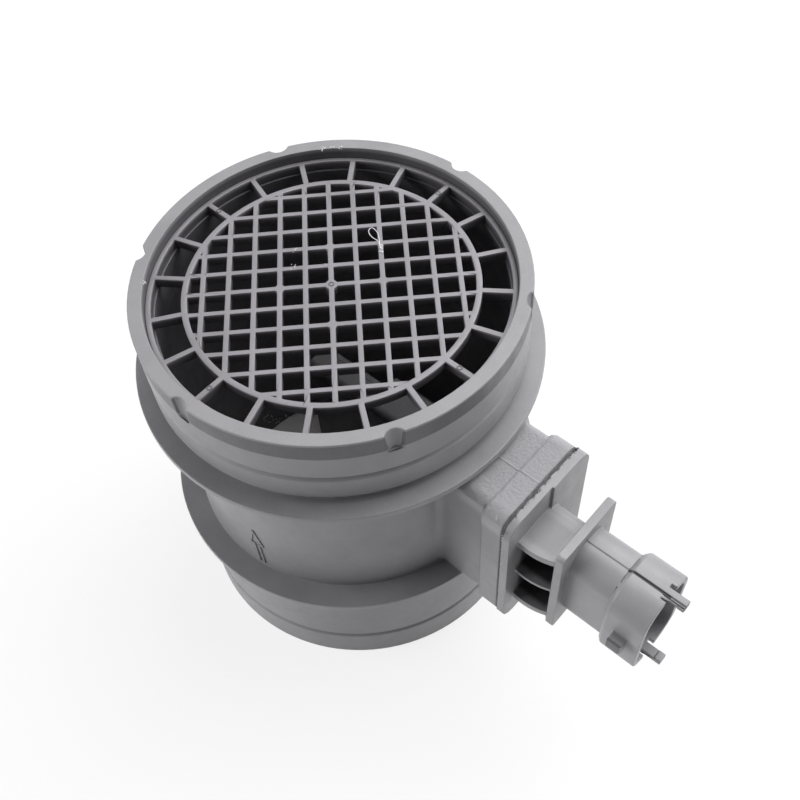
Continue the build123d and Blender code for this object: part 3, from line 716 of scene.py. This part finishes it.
def soft_edged_copy(node: str, name: str, edge_mm: float) -> Object:
    """Copy a CAD node, join its triangles and round its edges as a mould would.

    Args:
        node: The CAD node to copy.
        name: The new piece's name.
        edge_mm: Width of the rounded edges.

    Returns:
        The new piece, standing for the node.
    """
    build = bmesh.new()
    build.from_mesh(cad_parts[node].data)
    bmesh.ops.remove_doubles(build, verts=build.verts, dist=CAD_WELD_MM * MM)
    flat = math.radians(FLAT_DEG)
    bmesh.ops.dissolve_limit(build, angle_limit=flat, verts=build.verts, edges=build.edges)
    mesh = bpy.data.meshes.new(name)
    build.to_mesh(mesh)
    build.free()
    piece = new_piece(name, mesh)
    round_edges(piece, edge_mm)
    # Large flat faces keep their own normals beside the small rounded edges.
    baked(piece).modifiers.new("flat_faces", "WEIGHTED_NORMAL").keep_sharp = True
    plain(piece)
    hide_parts(node)
    return piece


def dress_node(node: str, finish: Material) -> None:
    """Give a CAD node that stays its material."""
    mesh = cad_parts[node].data
    mesh.materials.clear()
    mesh.materials.append(finish)


@dataclass(frozen=True)
class Flakes:
    """Small ragged flakes that lie scattered round some places."""

    name: str
    places_mm: tuple[Triple, ...]
    count: int
    spread_mm: Triple
    flake_mm: float
    seed: int
    smallest: Triple = (0.3, 0.2, 0.15)
    largest: Triple = (1.1, 0.6, 0.3)
    turn_rad: float = 6.28

    def scatter(self, finish: Material) -> Object:
        """Scatter the flakes.

        Args:
            finish: Their material.

        Returns:
            The flakes as one piece.
        """
        inputs = {
            "Count": self.count,
            "Spread": tuple(reach * MM for reach in self.spread_mm),
            "Flake": self.flake_mm * MM,
            "Seed": self.seed,
            "Material": finish,
        }
        tree = GeometryTree(self.name, inputs)
        points = tree.add("GeometryNodeMeshToPoints", {"Mesh": tree["Geometry"]})
        wires = {"Geometry": points, "Amount": tree["Count"]}
        many = tree.add("GeometryNodeDuplicateElements", wires, domain="POINT")
        stray = self._drawn(tree, (-1.0, -1.0, -1.0), (1.0, 1.0, 1.0))
        wires = {0: stray, 1: tree["Spread"]}
        offset = tree.add("ShaderNodeVectorMath", wires, operation="MULTIPLY")
        moved = tree.add("GeometryNodeSetPosition", {"Geometry": many, "Offset": offset})
        wires = {"Radius": tree["Flake"], "Subdivisions": 1}
        wires = {
            "Points": moved,
            "Instance": tree.add("GeometryNodeMeshIcoSphere", wires),
            "Scale": self._drawn(tree, self.smallest, self.largest),
            "Rotation": self._drawn(tree, (0.0, 0.0, 0.0), (self.turn_rad,) * 3),
        }
        seeds = [Vector(place) * MM for place in self.places_mm]
        return tree.grow(tree.add("GeometryNodeInstanceOnPoints", wires), seeds)

    def _drawn(self, tree: GeometryTree, low: Triple, high: Triple) -> NodeSocket:
        """Draw a vector for each flake.

        Args:
            tree: The flakes' tree.
            low: The least that it can be.
            high: The most.

        Returns:
            The drawn vector's socket.
        """
        wires = {0: low, 1: high, "Seed": tree["Seed"]}
        return tree.add("FunctionNodeRandomValue", wires, data_type="FLOAT_VECTOR")


# ---- Sub-assemblies -------------------------------------------------------------------------
@dataclass
class AirTube:
    """The moulded tube with its raised airflow arrow."""

    edge_mm: float = 0.3
    wall_radius_mm: float = 40.2
    arrow_azimuth_deg: float = -81.0
    arrow_tip_z_mm: float = 50.6
    arrow_head_z_mm: float = 44.3
    arrow_foot_z_mm: float = 35.4
    arrow_head_half_mm: float = 1.75
    arrow_shaft_half_mm: float = 0.65
    arrow_line_mm: float = 0.42
    arrow_rise_mm: float = 0.3
    arrow_sink_mm: float = 0.15
    arrow_taper_mm: float = 0.06

    def build(self) -> list[Object]:
        """Make the tube and its arrow.

        Returns:
            The finished pieces.
        """
        nylon = TUBE_NYLON.material()
        tube = soft_edged_copy("tube_housing", "air_tube", self.edge_mm)
        arrow = self._airflow_arrow()
        return [settle(tube, nylon), settle(arrow, nylon)]

    def _airflow_arrow(self) -> Object:
        """Raise the outline of an upward arrow from the tube's wall.

        Returns:
            The arrow, wrapped on the wall.
        """
        half, shaft, head = self.arrow_head_half_mm, self.arrow_shaft_half_mm, self.arrow_head_z_mm
        right = [(half, head), (shaft, head), (shaft, self.arrow_foot_z_mm)]
        left = [(-x, z) for x, z in reversed(right)]
        outline = [(0.0, self.arrow_tip_z_mm), *right, *left]
        build = bmesh.new()
        for start, end in zip(outline, outline[1:] + outline[:1]):
            self._raised_bar(build, Vector(start), Vector(end))
        mesh = bpy.data.meshes.new("airflow_arrow")
        build.to_mesh(mesh)
        build.free()
        return new_piece("airflow_arrow", mesh)

    def _raised_bar(self, build: bmesh.types.BMesh, start: Vector, end: Vector) -> None:
        """Add one bar of the arrow's outline, bent to the wall.

        Args:
            build: The mesh that takes the bar.
            start: One end, along the wall and up it, in millimetres.
            end: The other end.
        """
        along = (end - start).normalized()
        across = Vector((-along.y, along.x)) * self.arrow_line_mm / 2
        start, end = start - along * self.arrow_line_mm / 2, end + along * self.arrow_line_mm / 2
        foot = self.wall_radius_mm - self.arrow_sink_mm
        crown = self.wall_radius_mm + self.arrow_rise_mm
        sides = ((start, -1), (end, -1), (end, 1), (start, 1))
        corners = [point + across * side for point, side in sides]
        low = [build.verts.new(self._on_wall(corner, foot)) for corner in corners]
        high = []
        middle = (start + end) / 2
        for corner in corners:
            inset = corner + (middle - corner).normalized() * self.arrow_taper_mm
            high.append(build.verts.new(self._on_wall(inset, crown)))
        build.faces.new(high)
        build.faces.new(list(reversed(low)))
        for place in range(len(corners)):
            follow = (place + 1) % len(corners)
            build.faces.new((low[place], low[follow], high[follow], high[place]))

    def _on_wall(self, point: Vector, radius_mm: float) -> Vector:
        """Wrap a flat point round the tube.

        Args:
            point: Distance along the wall and height, in millimetres.
            radius_mm: How far out the point lies.

        Returns:
            The place in metres.
        """
        turn = math.radians(self.arrow_azimuth_deg) + point.x / self.wall_radius_mm
        return Vector(
            (radius_mm * math.cos(turn) * MM, radius_mm * math.sin(turn) * MM, point.y * MM)
        )


@dataclass
class LatticeGuard:
    """The drop-in lattice: two crossed sets of bars in a ring, 20 spokes and a seat ring."""

    pitch_mm: float = 5.5
    bar_mm: float = 1.1
    rows: int = 5
    lattice_turn_deg: float = 45.0
    ring_radius_mm: float = 31.35
    ring_mm: float = 1.3
    seat_radius_mm: float = 38.95
    seat_mm: float = 1.1
    spokes: int = 20
    spoke_mm: float = 1.2
    boss_radius_mm: float = 1.32
    pad_radius_mm: float = 1.1
    pad_steps: int = 2
    pads: int = 4
    pad_sides: int = 12
    boss_sides: int = 24
    ring_sides: int = 108
    thickness_mm: float = 2.4
    edge_mm: float = 0.14
    mark_radius_mm: float = 0.5
    mark_rise_mm: float = 0.14
    marked_spokes: int = 4
    mark_sides: int = 20
    mark_rim_sides: int = 6

    def build(self) -> list[Object]:
        """Make the guard and the marks that the mould's ejector pins left on it.

        Returns:
            The finished pieces.
        """
        nylon = GUARD_NYLON.material()
        guard = self._lattice(nylon)
        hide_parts("guard_grille")
        marks = self._ejector_marks(PIN_MARK_SHADE.material())
        return [settle(guard), settle(marks)]

    def _top(self) -> float:
        """Height of the guard's upper face in metres, from the frame."""
        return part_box("guard_grille")[1][2]

    def _lattice(self, nylon: Material) -> Object:
        """Grow the guard from its rule.

        Args:
            nylon: The guard's material.

        Returns:
            The guard.
        """
        inputs = {
            "Pitch": self.pitch_mm * MM,
            "Bar": self.bar_mm * MM,
            "Rows": self.rows,
            "Lattice Turn": math.radians(self.lattice_turn_deg),
            "Ring Radius": self.ring_radius_mm * MM,
            "Ring": self.ring_mm * MM,
            "Seat Radius": self.seat_radius_mm * MM,
            "Seat": self.seat_mm * MM,
            "Spokes": self.spokes,
            "Spoke": self.spoke_mm * MM,
            "Boss Radius": self.boss_radius_mm * MM,
            "Pad Radius": self.pad_radius_mm * MM,
            "Pad Reach": self.pad_steps * self.pitch_mm * MM,
            "Thickness": self.thickness_mm * MM,
            "Middle": self._top() - self.thickness_mm / 2 * MM,
            "Material": nylon,
        }
        tree = GeometryTree("lattice_guard", inputs)
        bars = self._bars(tree)
        across = {"Geometry": bars, "Rotation": (0.0, 0.0, math.pi / 2)}
        crossed = tree.join(bars, tree.add("GeometryNodeTransform", across), self._pads(tree))
        turn = tree.add("ShaderNodeCombineXYZ", {"Z": tree["Lattice Turn"]})
        turned = tree.add("GeometryNodeTransform", {"Geometry": crossed, "Rotation": turn})
        rings = [
            self._ring(tree, tree["Ring Radius"], tree["Ring"]),
            self._ring(tree, tree["Seat Radius"], tree["Seat"]),
        ]
        loose = tree.join(turned, self._spokes(tree), *rings)
        solid = tree.add("GeometryNodeRealizeInstances", {"Geometry": loose})
        wires = {"Mesh 2": solid, "Self Intersection": True}
        fused = tree.add("GeometryNodeMeshBoolean", wires, operation="UNION", solver="EXACT")
        lift = tree.add("ShaderNodeCombineXYZ", {"Z": tree["Middle"]})
        placed = tree.add("GeometryNodeTransform", {"Geometry": fused, "Translation": lift})
        return tree.grow(placed, edge_mm=self.edge_mm)

    def _bars(self, tree: GeometryTree) -> NodeSocket:
        """Lay one set of bars, each as long as the ring's chord where it lies.

        Args:
            tree: The guard's tree.

        Returns:
            The bars, along Y.
        """
        rows, pitch = tree["Rows"], tree["Pitch"]
        start = tree.times(rows, pitch, -1.0)
        wires = {
            "Count": tree.maths("MULTIPLY_ADD", rows, 2.0, 1.0),
            "Start Location": tree.add("ShaderNodeCombineXYZ", {"X": start}),
            "Offset": tree.add("ShaderNodeCombineXYZ", {"X": pitch}),
        }
        line = tree.add("GeometryNodeMeshLine", wires)
        place = tree.add("GeometryNodeInputPosition")
        side = tree.add("ShaderNodeSeparateXYZ", {"Vector": place})
        reach = tree["Ring Radius"]
        rest = tree.maths("SUBTRACT", tree.times(reach, reach), tree.times(side, side))
        chord = tree.times(tree.maths("SQRT", rest), 2.0)
        wires = {"X": tree["Bar"], "Y": chord, "Z": tree["Thickness"]}
        size = tree.add("ShaderNodeCombineXYZ", wires)
        unit = tree.add("GeometryNodeMeshCube", {"Size": (1.0, 1.0, 1.0)})
        wires = {"Points": line, "Instance": unit, "Scale": size}
        return tree.add("GeometryNodeInstanceOnPoints", wires)

    def _ring(self, tree: GeometryTree, radius: NodeSocket, width: NodeSocket) -> NodeSocket:
        """Sweep a rectangle round a circle.

        Args:
            tree: The guard's tree.
            radius: The ring's mean radius.
            width: The ring's width.

        Returns:
            The ring.
        """
        wires = {"Width": width, "Height": tree["Thickness"]}
        section = tree.add("GeometryNodeCurvePrimitiveQuadrilateral", wires)
        return tree.swept(tree.circle(self.ring_sides, radius), section)

    def _spokes(self, tree: GeometryTree) -> NodeSocket:
        """Set the spokes round the lattice ring.

        Args:
            tree: The guard's tree.

        Returns:
            The spokes.
        """
        inner, outer = tree["Ring Radius"], tree["Seat Radius"]
        middle = tree.times(tree.maths("ADD", inner, outer), 0.5)
        wires = {"Vertices": tree["Spokes"], "Radius": middle}
        places = tree.add("GeometryNodeMeshCircle", wires)
        outward = tree.add("GeometryNodeInputPosition")
        turn = tree.add("FunctionNodeAlignEulerToVector", {"Vector": outward}, axis="X")
        length = tree.maths("SUBTRACT", outer, inner)
        wires = {"X": length, "Y": tree["Spoke"], "Z": tree["Thickness"]}
        spoke = tree.add("GeometryNodeMeshCube", {"Size": tree.add("ShaderNodeCombineXYZ", wires)})
        wires = {"Points": places, "Instance": spoke, "Rotation": turn}
        return tree.add("GeometryNodeInstanceOnPoints", wires)

    def _pads(self, tree: GeometryTree) -> NodeSocket:
        """Thicken four crossings with pads and the middle one with a boss.

        Args:
            tree: The guard's tree.

        Returns:
            The pads and the boss.
        """
        wires = {"Vertices": self.pads, "Radius": tree["Pad Reach"]}
        places = tree.add("GeometryNodeMeshCircle", wires)
        wires = {"Vertices": self.pad_sides, "Radius": tree["Pad Radius"]}
        wires["Depth"] = tree["Thickness"]
        pad = tree.add("GeometryNodeMeshCylinder", wires)
        wires |= {"Vertices": self.boss_sides, "Radius": tree["Boss Radius"]}
        boss = tree.add("GeometryNodeMeshCylinder", wires)
        pads = tree.add("GeometryNodeInstanceOnPoints", {"Points": places, "Instance": pad})
        return tree.join(pads, boss)

    def _ejector_marks(self, nylon: Material) -> Object:
        """Raise a small darker rim round each ejector pin's place; its darkness is painted shade.

        Args:
            nylon: The marks' darker nylon, painted shade of each pin's dimple.

        Returns:
            The rims on the boss and on four spokes.
        """
        middle = (self.ring_radius_mm + self.seat_radius_mm) / 2 * MM
        top = self._top()
        places = [Vector((0.0, 0.0, top))]
        for spoke in range(self.marked_spokes):
            turn = math.tau / self.marked_spokes * spoke
            places.append(Vector((middle * math.cos(turn), middle * math.sin(turn), top)))
        inputs = {
            "Radius": self.mark_radius_mm * MM,
            "Rise": self.mark_rise_mm * MM,
            "Material": nylon,
        }
        tree = GeometryTree("ejector_marks", inputs)
        points = tree.add("GeometryNodeMeshToPoints", {"Mesh": tree["Geometry"]})
        circle = tree.circle(self.mark_sides, tree["Radius"])
        rim = tree.swept(circle, tree.circle(self.mark_rim_sides, tree["Rise"]))
        marks = tree.add("GeometryNodeInstanceOnPoints", {"Points": points, "Instance": rim})
        return tree.grow(marks, places)


@dataclass
class SensorModule:
    """The plug-in module: body, covers, electronics, terminals and seals."""

    edge_mm: float = 0.22
    terminals: int = 5

    def build(self) -> list[Object]:
        """Make the module's body and dress its smaller nodes.

        Returns:
            The finished pieces.
        """
        plastic = MODULE_POLYESTER.material()
        body = soft_edged_copy("module_body", "module_moulding", self.edge_mm)
        terminal, bond = TERMINAL_TIN.material(), BOND_ALUMINIUM.material()
        ceramic, capacitor = BOARD_CERAMIC.material(), CAPACITOR_CERAMIC.material()
        finishes = {
            "electronics_cover": plastic,
            "channel_cover": plastic,
            "port_seal": SEAL_RUBBER.material(),
            "carrier_plate": CARRIER_METAL.material(),
            "circuit_board": ceramic,
            "sensor_carrier": ceramic,
            "sensor_chip": CHIP_SILICON.material(),
            "control_chip": CHIP_EPOXY.material(),
            "filter_capacitor_1": capacitor,
            "filter_capacitor_2": capacitor,
            "terminal_bonds": bond,
            "sensor_bonds": bond,
            "thermistor": BEAD_GLASS.material(),
            "thermistor_leg_inner": terminal,
            "thermistor_leg_outer": terminal,
        }
        for place in range(self.terminals):
            finishes[f"terminal_{place + 1}"] = terminal
        for node, finish in finishes.items():
            dress_node(node, finish)
        return [settle(body, plastic)]


# What was squeezed, wiped and scraped out of the joint between the collar and the module's flange:
# crumbs every 2 mm along its top, smears every 3 mm down its near side, and white scrapes beside
# these, with one nick in the collar's corner.
JOINT_X_MM, JOINT_TOP_MM = 56.95, 73.8
SMEAR_Y_MM = -12.9
SCRAPE_X_MM, SCRAPE_Y_MM = 57.15, -13.0
ADHESIVE_CRUMBS = Flakes(
    "adhesive_crumbs",
    tuple((JOINT_X_MM, y, JOINT_TOP_MM) for y in range(-9, 12, 2)),
    count=9,
    spread_mm=(0.5, 1.0, 0.1),
    flake_mm=0.34,
    seed=4,
)
ADHESIVE_SMEARS = Flakes(
    "adhesive_smears",
    tuple((JOINT_X_MM, SMEAR_Y_MM, z) for z in range(71, 40, -3)),
    count=7,
    spread_mm=(0.25, 0.08, 1.4),
    flake_mm=0.34,
    seed=7,
)
JOINT_SCRAPES = Flakes(
    "joint_scrapes",
    (*((SCRAPE_X_MM, SCRAPE_Y_MM, z) for z in (70.4, 68.4, 64.0, 58.5)), (54.4, -11.6, 73.1)),
    count=5,
    spread_mm=(0.25, 0.1, 0.9),
    flake_mm=0.3,
    seed=9,
)


@dataclass
class CollarJoint:
    """The adhesive round the collar, and what was squeezed and scraped out of the joint."""

    middle_mm: Triple = (JOINT_X_MM, 0.6, 52.5)
    width_mm: float = 26.5
    height_mm: float = 42.35
    corner_mm: float = 3.8
    corner_points: int = 12
    step_mm: float = 0.35
    bead_mm: float = 0.26
    bead_sides: int = 8
    thickness: Pair = (0.55, 1.35)
    lump_mm: float = 1.6
    wander_mm: float = 0.7
    seed: float = 3.0

    def build(self) -> list[Object]:
        """Make the bead, its crumbs and smears, and the white scrapes.

        Returns:
            The finished pieces.
        """
        glue, scraped = ADHESIVE.material(), FLASH_NYLON.material()
        dress_node("joint_sealant", glue)
        crumbs, smears = ADHESIVE_CRUMBS.scatter(glue), ADHESIVE_SMEARS.scatter(glue)
        scrapes = JOINT_SCRAPES.scatter(scraped)
        sealant = [settle(piece) for piece in (self._bead(glue), crumbs, smears)]
        return [*sealant, settle(scrapes)]

    def _bead(self, glue: Material) -> Object:
        """Run an uneven bead of adhesive round the joint.

        Args:
            glue: The adhesive's material.

        Returns:
            The bead.
        """
        inputs = {
            "Width": self.width_mm * MM,
            "Height": self.height_mm * MM,
            "Corner": self.corner_mm * MM,
            "Bead": self.bead_mm * MM,
            "Wander": self.wander_mm * MM,
            "Seed": self.seed,
            "Middle": tuple(place * MM for place in self.middle_mm),
            "Material": glue,
        }
        tree = GeometryTree("adhesive_bead", inputs)
        wires = {"Width": tree["Width"], "Height": tree["Height"]}
        path = tree.add("GeometryNodeCurvePrimitiveQuadrilateral", wires)
        wires = {"Curve": path, "Radius": tree["Corner"], "Count": self.corner_points}
        path = tree.add("GeometryNodeFilletCurve", wires, mode="POLY")
        wires = {"Curve": path, "Length": self.step_mm * MM}
        path = tree.add("GeometryNodeResampleCurve", wires, mode="LENGTH")
        place = tree.add("GeometryNodeInputPosition")
        wires = {"Vector": place, "W": tree["Seed"], "Detail": 3.0}
        wires["Scale"] = per_metre(self.lump_mm)
        noise = add_node(tree.tree, "ShaderNodeTexNoise", wires, noise_dimensions="4D")
        wires = {0: noise.outputs["Color"], 1: (0.5, 0.5, 0.5)}
        centred = tree.add("ShaderNodeVectorMath", wires, operation="SUBTRACT")
        wires = {0: centred, "Scale": tree["Wander"]}
        offset = tree.add("ShaderNodeVectorMath", wires, operation="SCALE")
        path = tree.add("GeometryNodeSetPosition", {"Geometry": path, "Offset": offset})
        wires = {"Value": noise.outputs["Fac"], "From Min": 0.35, "From Max": 0.65}
        wires |= {"To Min": self.thickness[0], "To Max": self.thickness[1]}
        thick = tree.add("ShaderNodeMapRange", wires)
        path = tree.add("GeometryNodeSetCurveRadius", {"Curve": path, "Radius": thick})
        bead = tree.swept(path, tree.circle(self.bead_sides, tree["Bead"]))
        wires = {
            "Geometry": bead,
            "Translation": tree["Middle"],
            "Rotation": (math.pi / 2, 0.0, math.pi / 2),
        }
        return tree.grow(tree.add("GeometryNodeTransform", wires))


@dataclass
class MouldFlash:
    """Loose ends of flash: a fine strand and flecks on the guard, and crumbs low in the tube."""

    strand_mm: tuple[Triple, ...] = (
        (1.4, 14.1, 96.1),
        (-0.6, 15.9, 96.15),
        (-2.1, 17.2, 96.2),
        (-3.4, 17.6, 96.3),
        (-4.4, 17.4, 96.4),
        (-4.2, 16.3, 96.4),
        (-3.3, 15.7, 96.3),
        (-2.2, 15.4, 96.2),
        (-0.7, 15.6, 96.15),
        (0.5, 14.8, 96.1),
    )
    strand_radius_mm: float = 0.08
    strand_rings: int = 2
    strand_order: int = 3
    flakes: tuple[Flakes, ...] = (
        Flakes(
            "guard_flecks",
            ((-13.2, 2.1, 96.0), (-10.2, -1.6, 96.0), (-4.9, 3.4, 96.0)),
            count=5,
            spread_mm=(0.7, 0.7, 0.05),
            flake_mm=0.28,
            seed=2,
        ),
        Flakes(
            "strand_knot",
            ((0.7, 14.8, 96.1), (1.3, 14.2, 96.15), (1.9, 13.6, 96.1)),
            count=10,
            spread_mm=(0.35, 0.35, 0.1),
            flake_mm=0.42,
            seed=6,
        ),
        Flakes(
            "rim_scuffs",
            tuple(
                (x, y, RIM_TOP_MM)
                for x, y in ((-25.6, 30.4), (-27.2, 29.0), (-28.8, 27.5), (-29.3, -26.4))
            ),
            count=9,
            spread_mm=(0.6, 0.6, 0.03),
            flake_mm=0.32,
            seed=5,
        ),
        Flakes(
            "bore_crumbs",
            ((-40.0, 0.6, 8.0), (-39.9, 1.8, 5.5), (-39.7, 4.2, 3.0), (-39.2, 7.2, 2.0)),
            count=6,
            spread_mm=(0.1, 1.0, 1.2),
            flake_mm=0.5,
            seed=8,
        ),
    )

    def build(self) -> list[Object]:
        """Make the strand, the flecks, the scuffs and the crumbs.

        Returns:
            The finished pieces.
        """
        flash = FLASH_NYLON.material()
        scattered = [flakes.scatter(flash) for flakes in self.flakes]
        strand = settle(self._strand(), flash)
        return [strand, *(settle(piece) for piece in scattered)]

    def _strand(self) -> Object:
        """Bend one fine strand into its loop on the guard.

        Returns:
            The strand.
        """
        curve = bpy.data.curves.new("flash_strand", "CURVE")
        curve.dimensions = "3D"
        curve.bevel_depth = self.strand_radius_mm * MM
        curve.bevel_resolution = self.strand_rings
        spline = curve.splines.new("NURBS")
        spline.points.add(len(self.strand_mm) - 1)
        for point, place in zip(spline.points, self.strand_mm):
            point.co = (*(Vector(place) * MM), 1.0)
        spline.order_u = self.strand_order
        spline.use_endpoint_u = True
        drawn = bpy.data.objects.new("flash_strand_path", curve)
        bpy.context.scene.collection.objects.link(drawn)
        mesh = evaluated_mesh(drawn)
        bpy.data.objects.remove(drawn)
        for face in mesh.polygons:
            face.use_smooth = True
        return new_piece("flash_strand", mesh)


# ---- Studio ---------------------------------------------------------------------------------
@dataclass(frozen=True)
class Softbox:
    """A square lamp that looks at the sensor's middle.

    The azimuth is read in the CAD's plane from +X towards +Y, and the output is the light that
    falls on a surface facing the lamp, where one lets a colour render as it is written.
    """

    name: str
    azimuth_deg: float
    height_deg: float
    distance: float
    size: float
    level: float

    def add(self, aim: Vector) -> None:
        """Hang the lamp.

        Args:
            aim: The point that the lamp looks at.
        """
        azimuth, height = math.radians(self.azimuth_deg), math.radians(self.height_deg)
        flat = math.cos(height)
        away = Vector((math.cos(azimuth) * flat, math.sin(azimuth) * flat, math.sin(height)))
        data = bpy.data.lights.new(self.name, "AREA")
        data.size = self.size
        data.energy = self.level * math.pi**2 * self.distance**2
        lamp = bpy.data.objects.new(self.name, data)
        lamp.location = aim + away * self.distance
        lamp.rotation_euler = (-away).to_track_quat("-Z", "Y").to_euler()
        bpy.context.scene.collection.objects.link(lamp)


@dataclass
class Studio:
    """Camera, floor and plain soft light."""

    camera_mm: Triple = (112.637, -94.246, 257.301)
    camera_turn_deg: Triple = (35.348, 2.761, 41.3234)
    lens_mm: float = 45.92
    sensor_mm: float = 36.0
    nearest_m: float = 0.01
    aim_mm: Triple = (10.0, 0.0, 50.0)
    floor_reach_m: float = 3.0
    floor_roughness: float = 0.9
    floor_colour: str = "f1f0f0"
    floor_glow: float = 0.8
    foot_radius_mm: float = 42.0
    world_level: float = 0.065
    softboxes: tuple[Softbox, ...] = (
        Softbox("back_softbox", 62.0, 35.0, 0.9, 1.0, 1.0),
        Softbox("left_softbox", 225.0, 20.0, 0.9, 0.6, 0.84),
        Softbox("top_softbox", 92.0, 60.0, 0.9, 0.8, 1.0),
    )

    def build(self) -> None:
        """Set the camera, the floor and the lamps."""
        scene = bpy.context.scene
        scene.view_settings.view_transform = "Standard"
        lens = bpy.data.cameras.new("studio_camera")
        lens.lens = self.lens_mm
        lens.sensor_width = self.sensor_mm
        lens.clip_start = self.nearest_m
        camera = bpy.data.objects.new("studio_camera", lens)
        camera.location = Vector(self.camera_mm) * MM
        camera.rotation_euler = Euler([math.radians(turn) for turn in self.camera_turn_deg])
        scene.collection.objects.link(camera)
        scene.camera = camera
        self._floor()
        self._world()
        for softbox in self.softboxes:
            softbox.add(Vector(self.aim_mm) * MM)

    def _floor(self) -> None:
        """A wide pale floor that takes the sensor's shadow."""
        mesh = bpy.data.meshes.new("studio_floor")
        reach = self.floor_reach_m
        corners = [(-reach, -reach, 0), (reach, -reach, 0), (reach, reach, 0), (-reach, reach, 0)]
        mesh.from_pydata(corners, [], [(0, 1, 2, 3)])
        floor = new_piece("studio_floor", mesh)
        material = bpy.data.materials.new("painted_backdrop_white")
        tree = ShaderTree(material)
        wires = {"Base Color": linear(self.floor_colour), "Roughness": self.floor_roughness}
        paint = tree.add("ShaderNodeBsdfPrincipled", wires)
        white = tree.add("ShaderNodeEmission", {"Color": linear("ffffff")})
        away = add_node(tree.tree, "ShaderNodeVectorMath", {0: tree.place}, operation="LENGTH")
        radius = away.outputs["Value"]
        open_floor = tree.maths("GREATER_THAN", radius, self.foot_radius_mm * MM)
        share = tree.times(self._seen(tree), open_floor, self.floor_glow)
        tree.end("ShaderNodeMixShader", {0: share, 1: paint, 2: white})
        mesh.materials.append(material)

    def _seen(self, tree: ShaderTree) -> NodeSocket:
        """Give a mask that is one for rays from the camera, off gloss and through glass.

        Args:
            tree: The tree that takes the mask.

        Returns:
            The mask's socket.
        """
        ray = add_node(tree.tree, "ShaderNodeLightPath")
        seen = ray.outputs["Is Camera Ray"]
        for kind in ("Is Glossy Ray", "Is Transmission Ray"):
            seen = tree.maths("MAXIMUM", seen, ray.outputs[kind])
        return seen

    def _world(self) -> None:
        """Even light from all round; the camera and reflections see it as white."""
        world = bpy.data.worlds.new("studio_world")
        bpy.context.scene.world = world
        tree = ShaderTree(world)
        level = tree.remap(self._seen(tree), (0.0, 1.0), (self.world_level, 1.0))
        wires = {"Color": linear("ffffff"), "Strength": level}
        tree.end("ShaderNodeBackground", wires, "ShaderNodeOutputWorld")


def main() -> None:
    """Build the studio and every sub-assembly in order."""
    logging.basicConfig(level=logging.INFO, format="%(name)s: %(message)s")
    Studio().build()
    for part in (AirTube(), LatticeGuard(), SensorModule(), CollarJoint(), MouldFlash()):
        pieces = part.build()
        LOG.info("%s gave %d pieces", type(part).__name__, len(pieces))


if __name__ == "__main__":
    main()
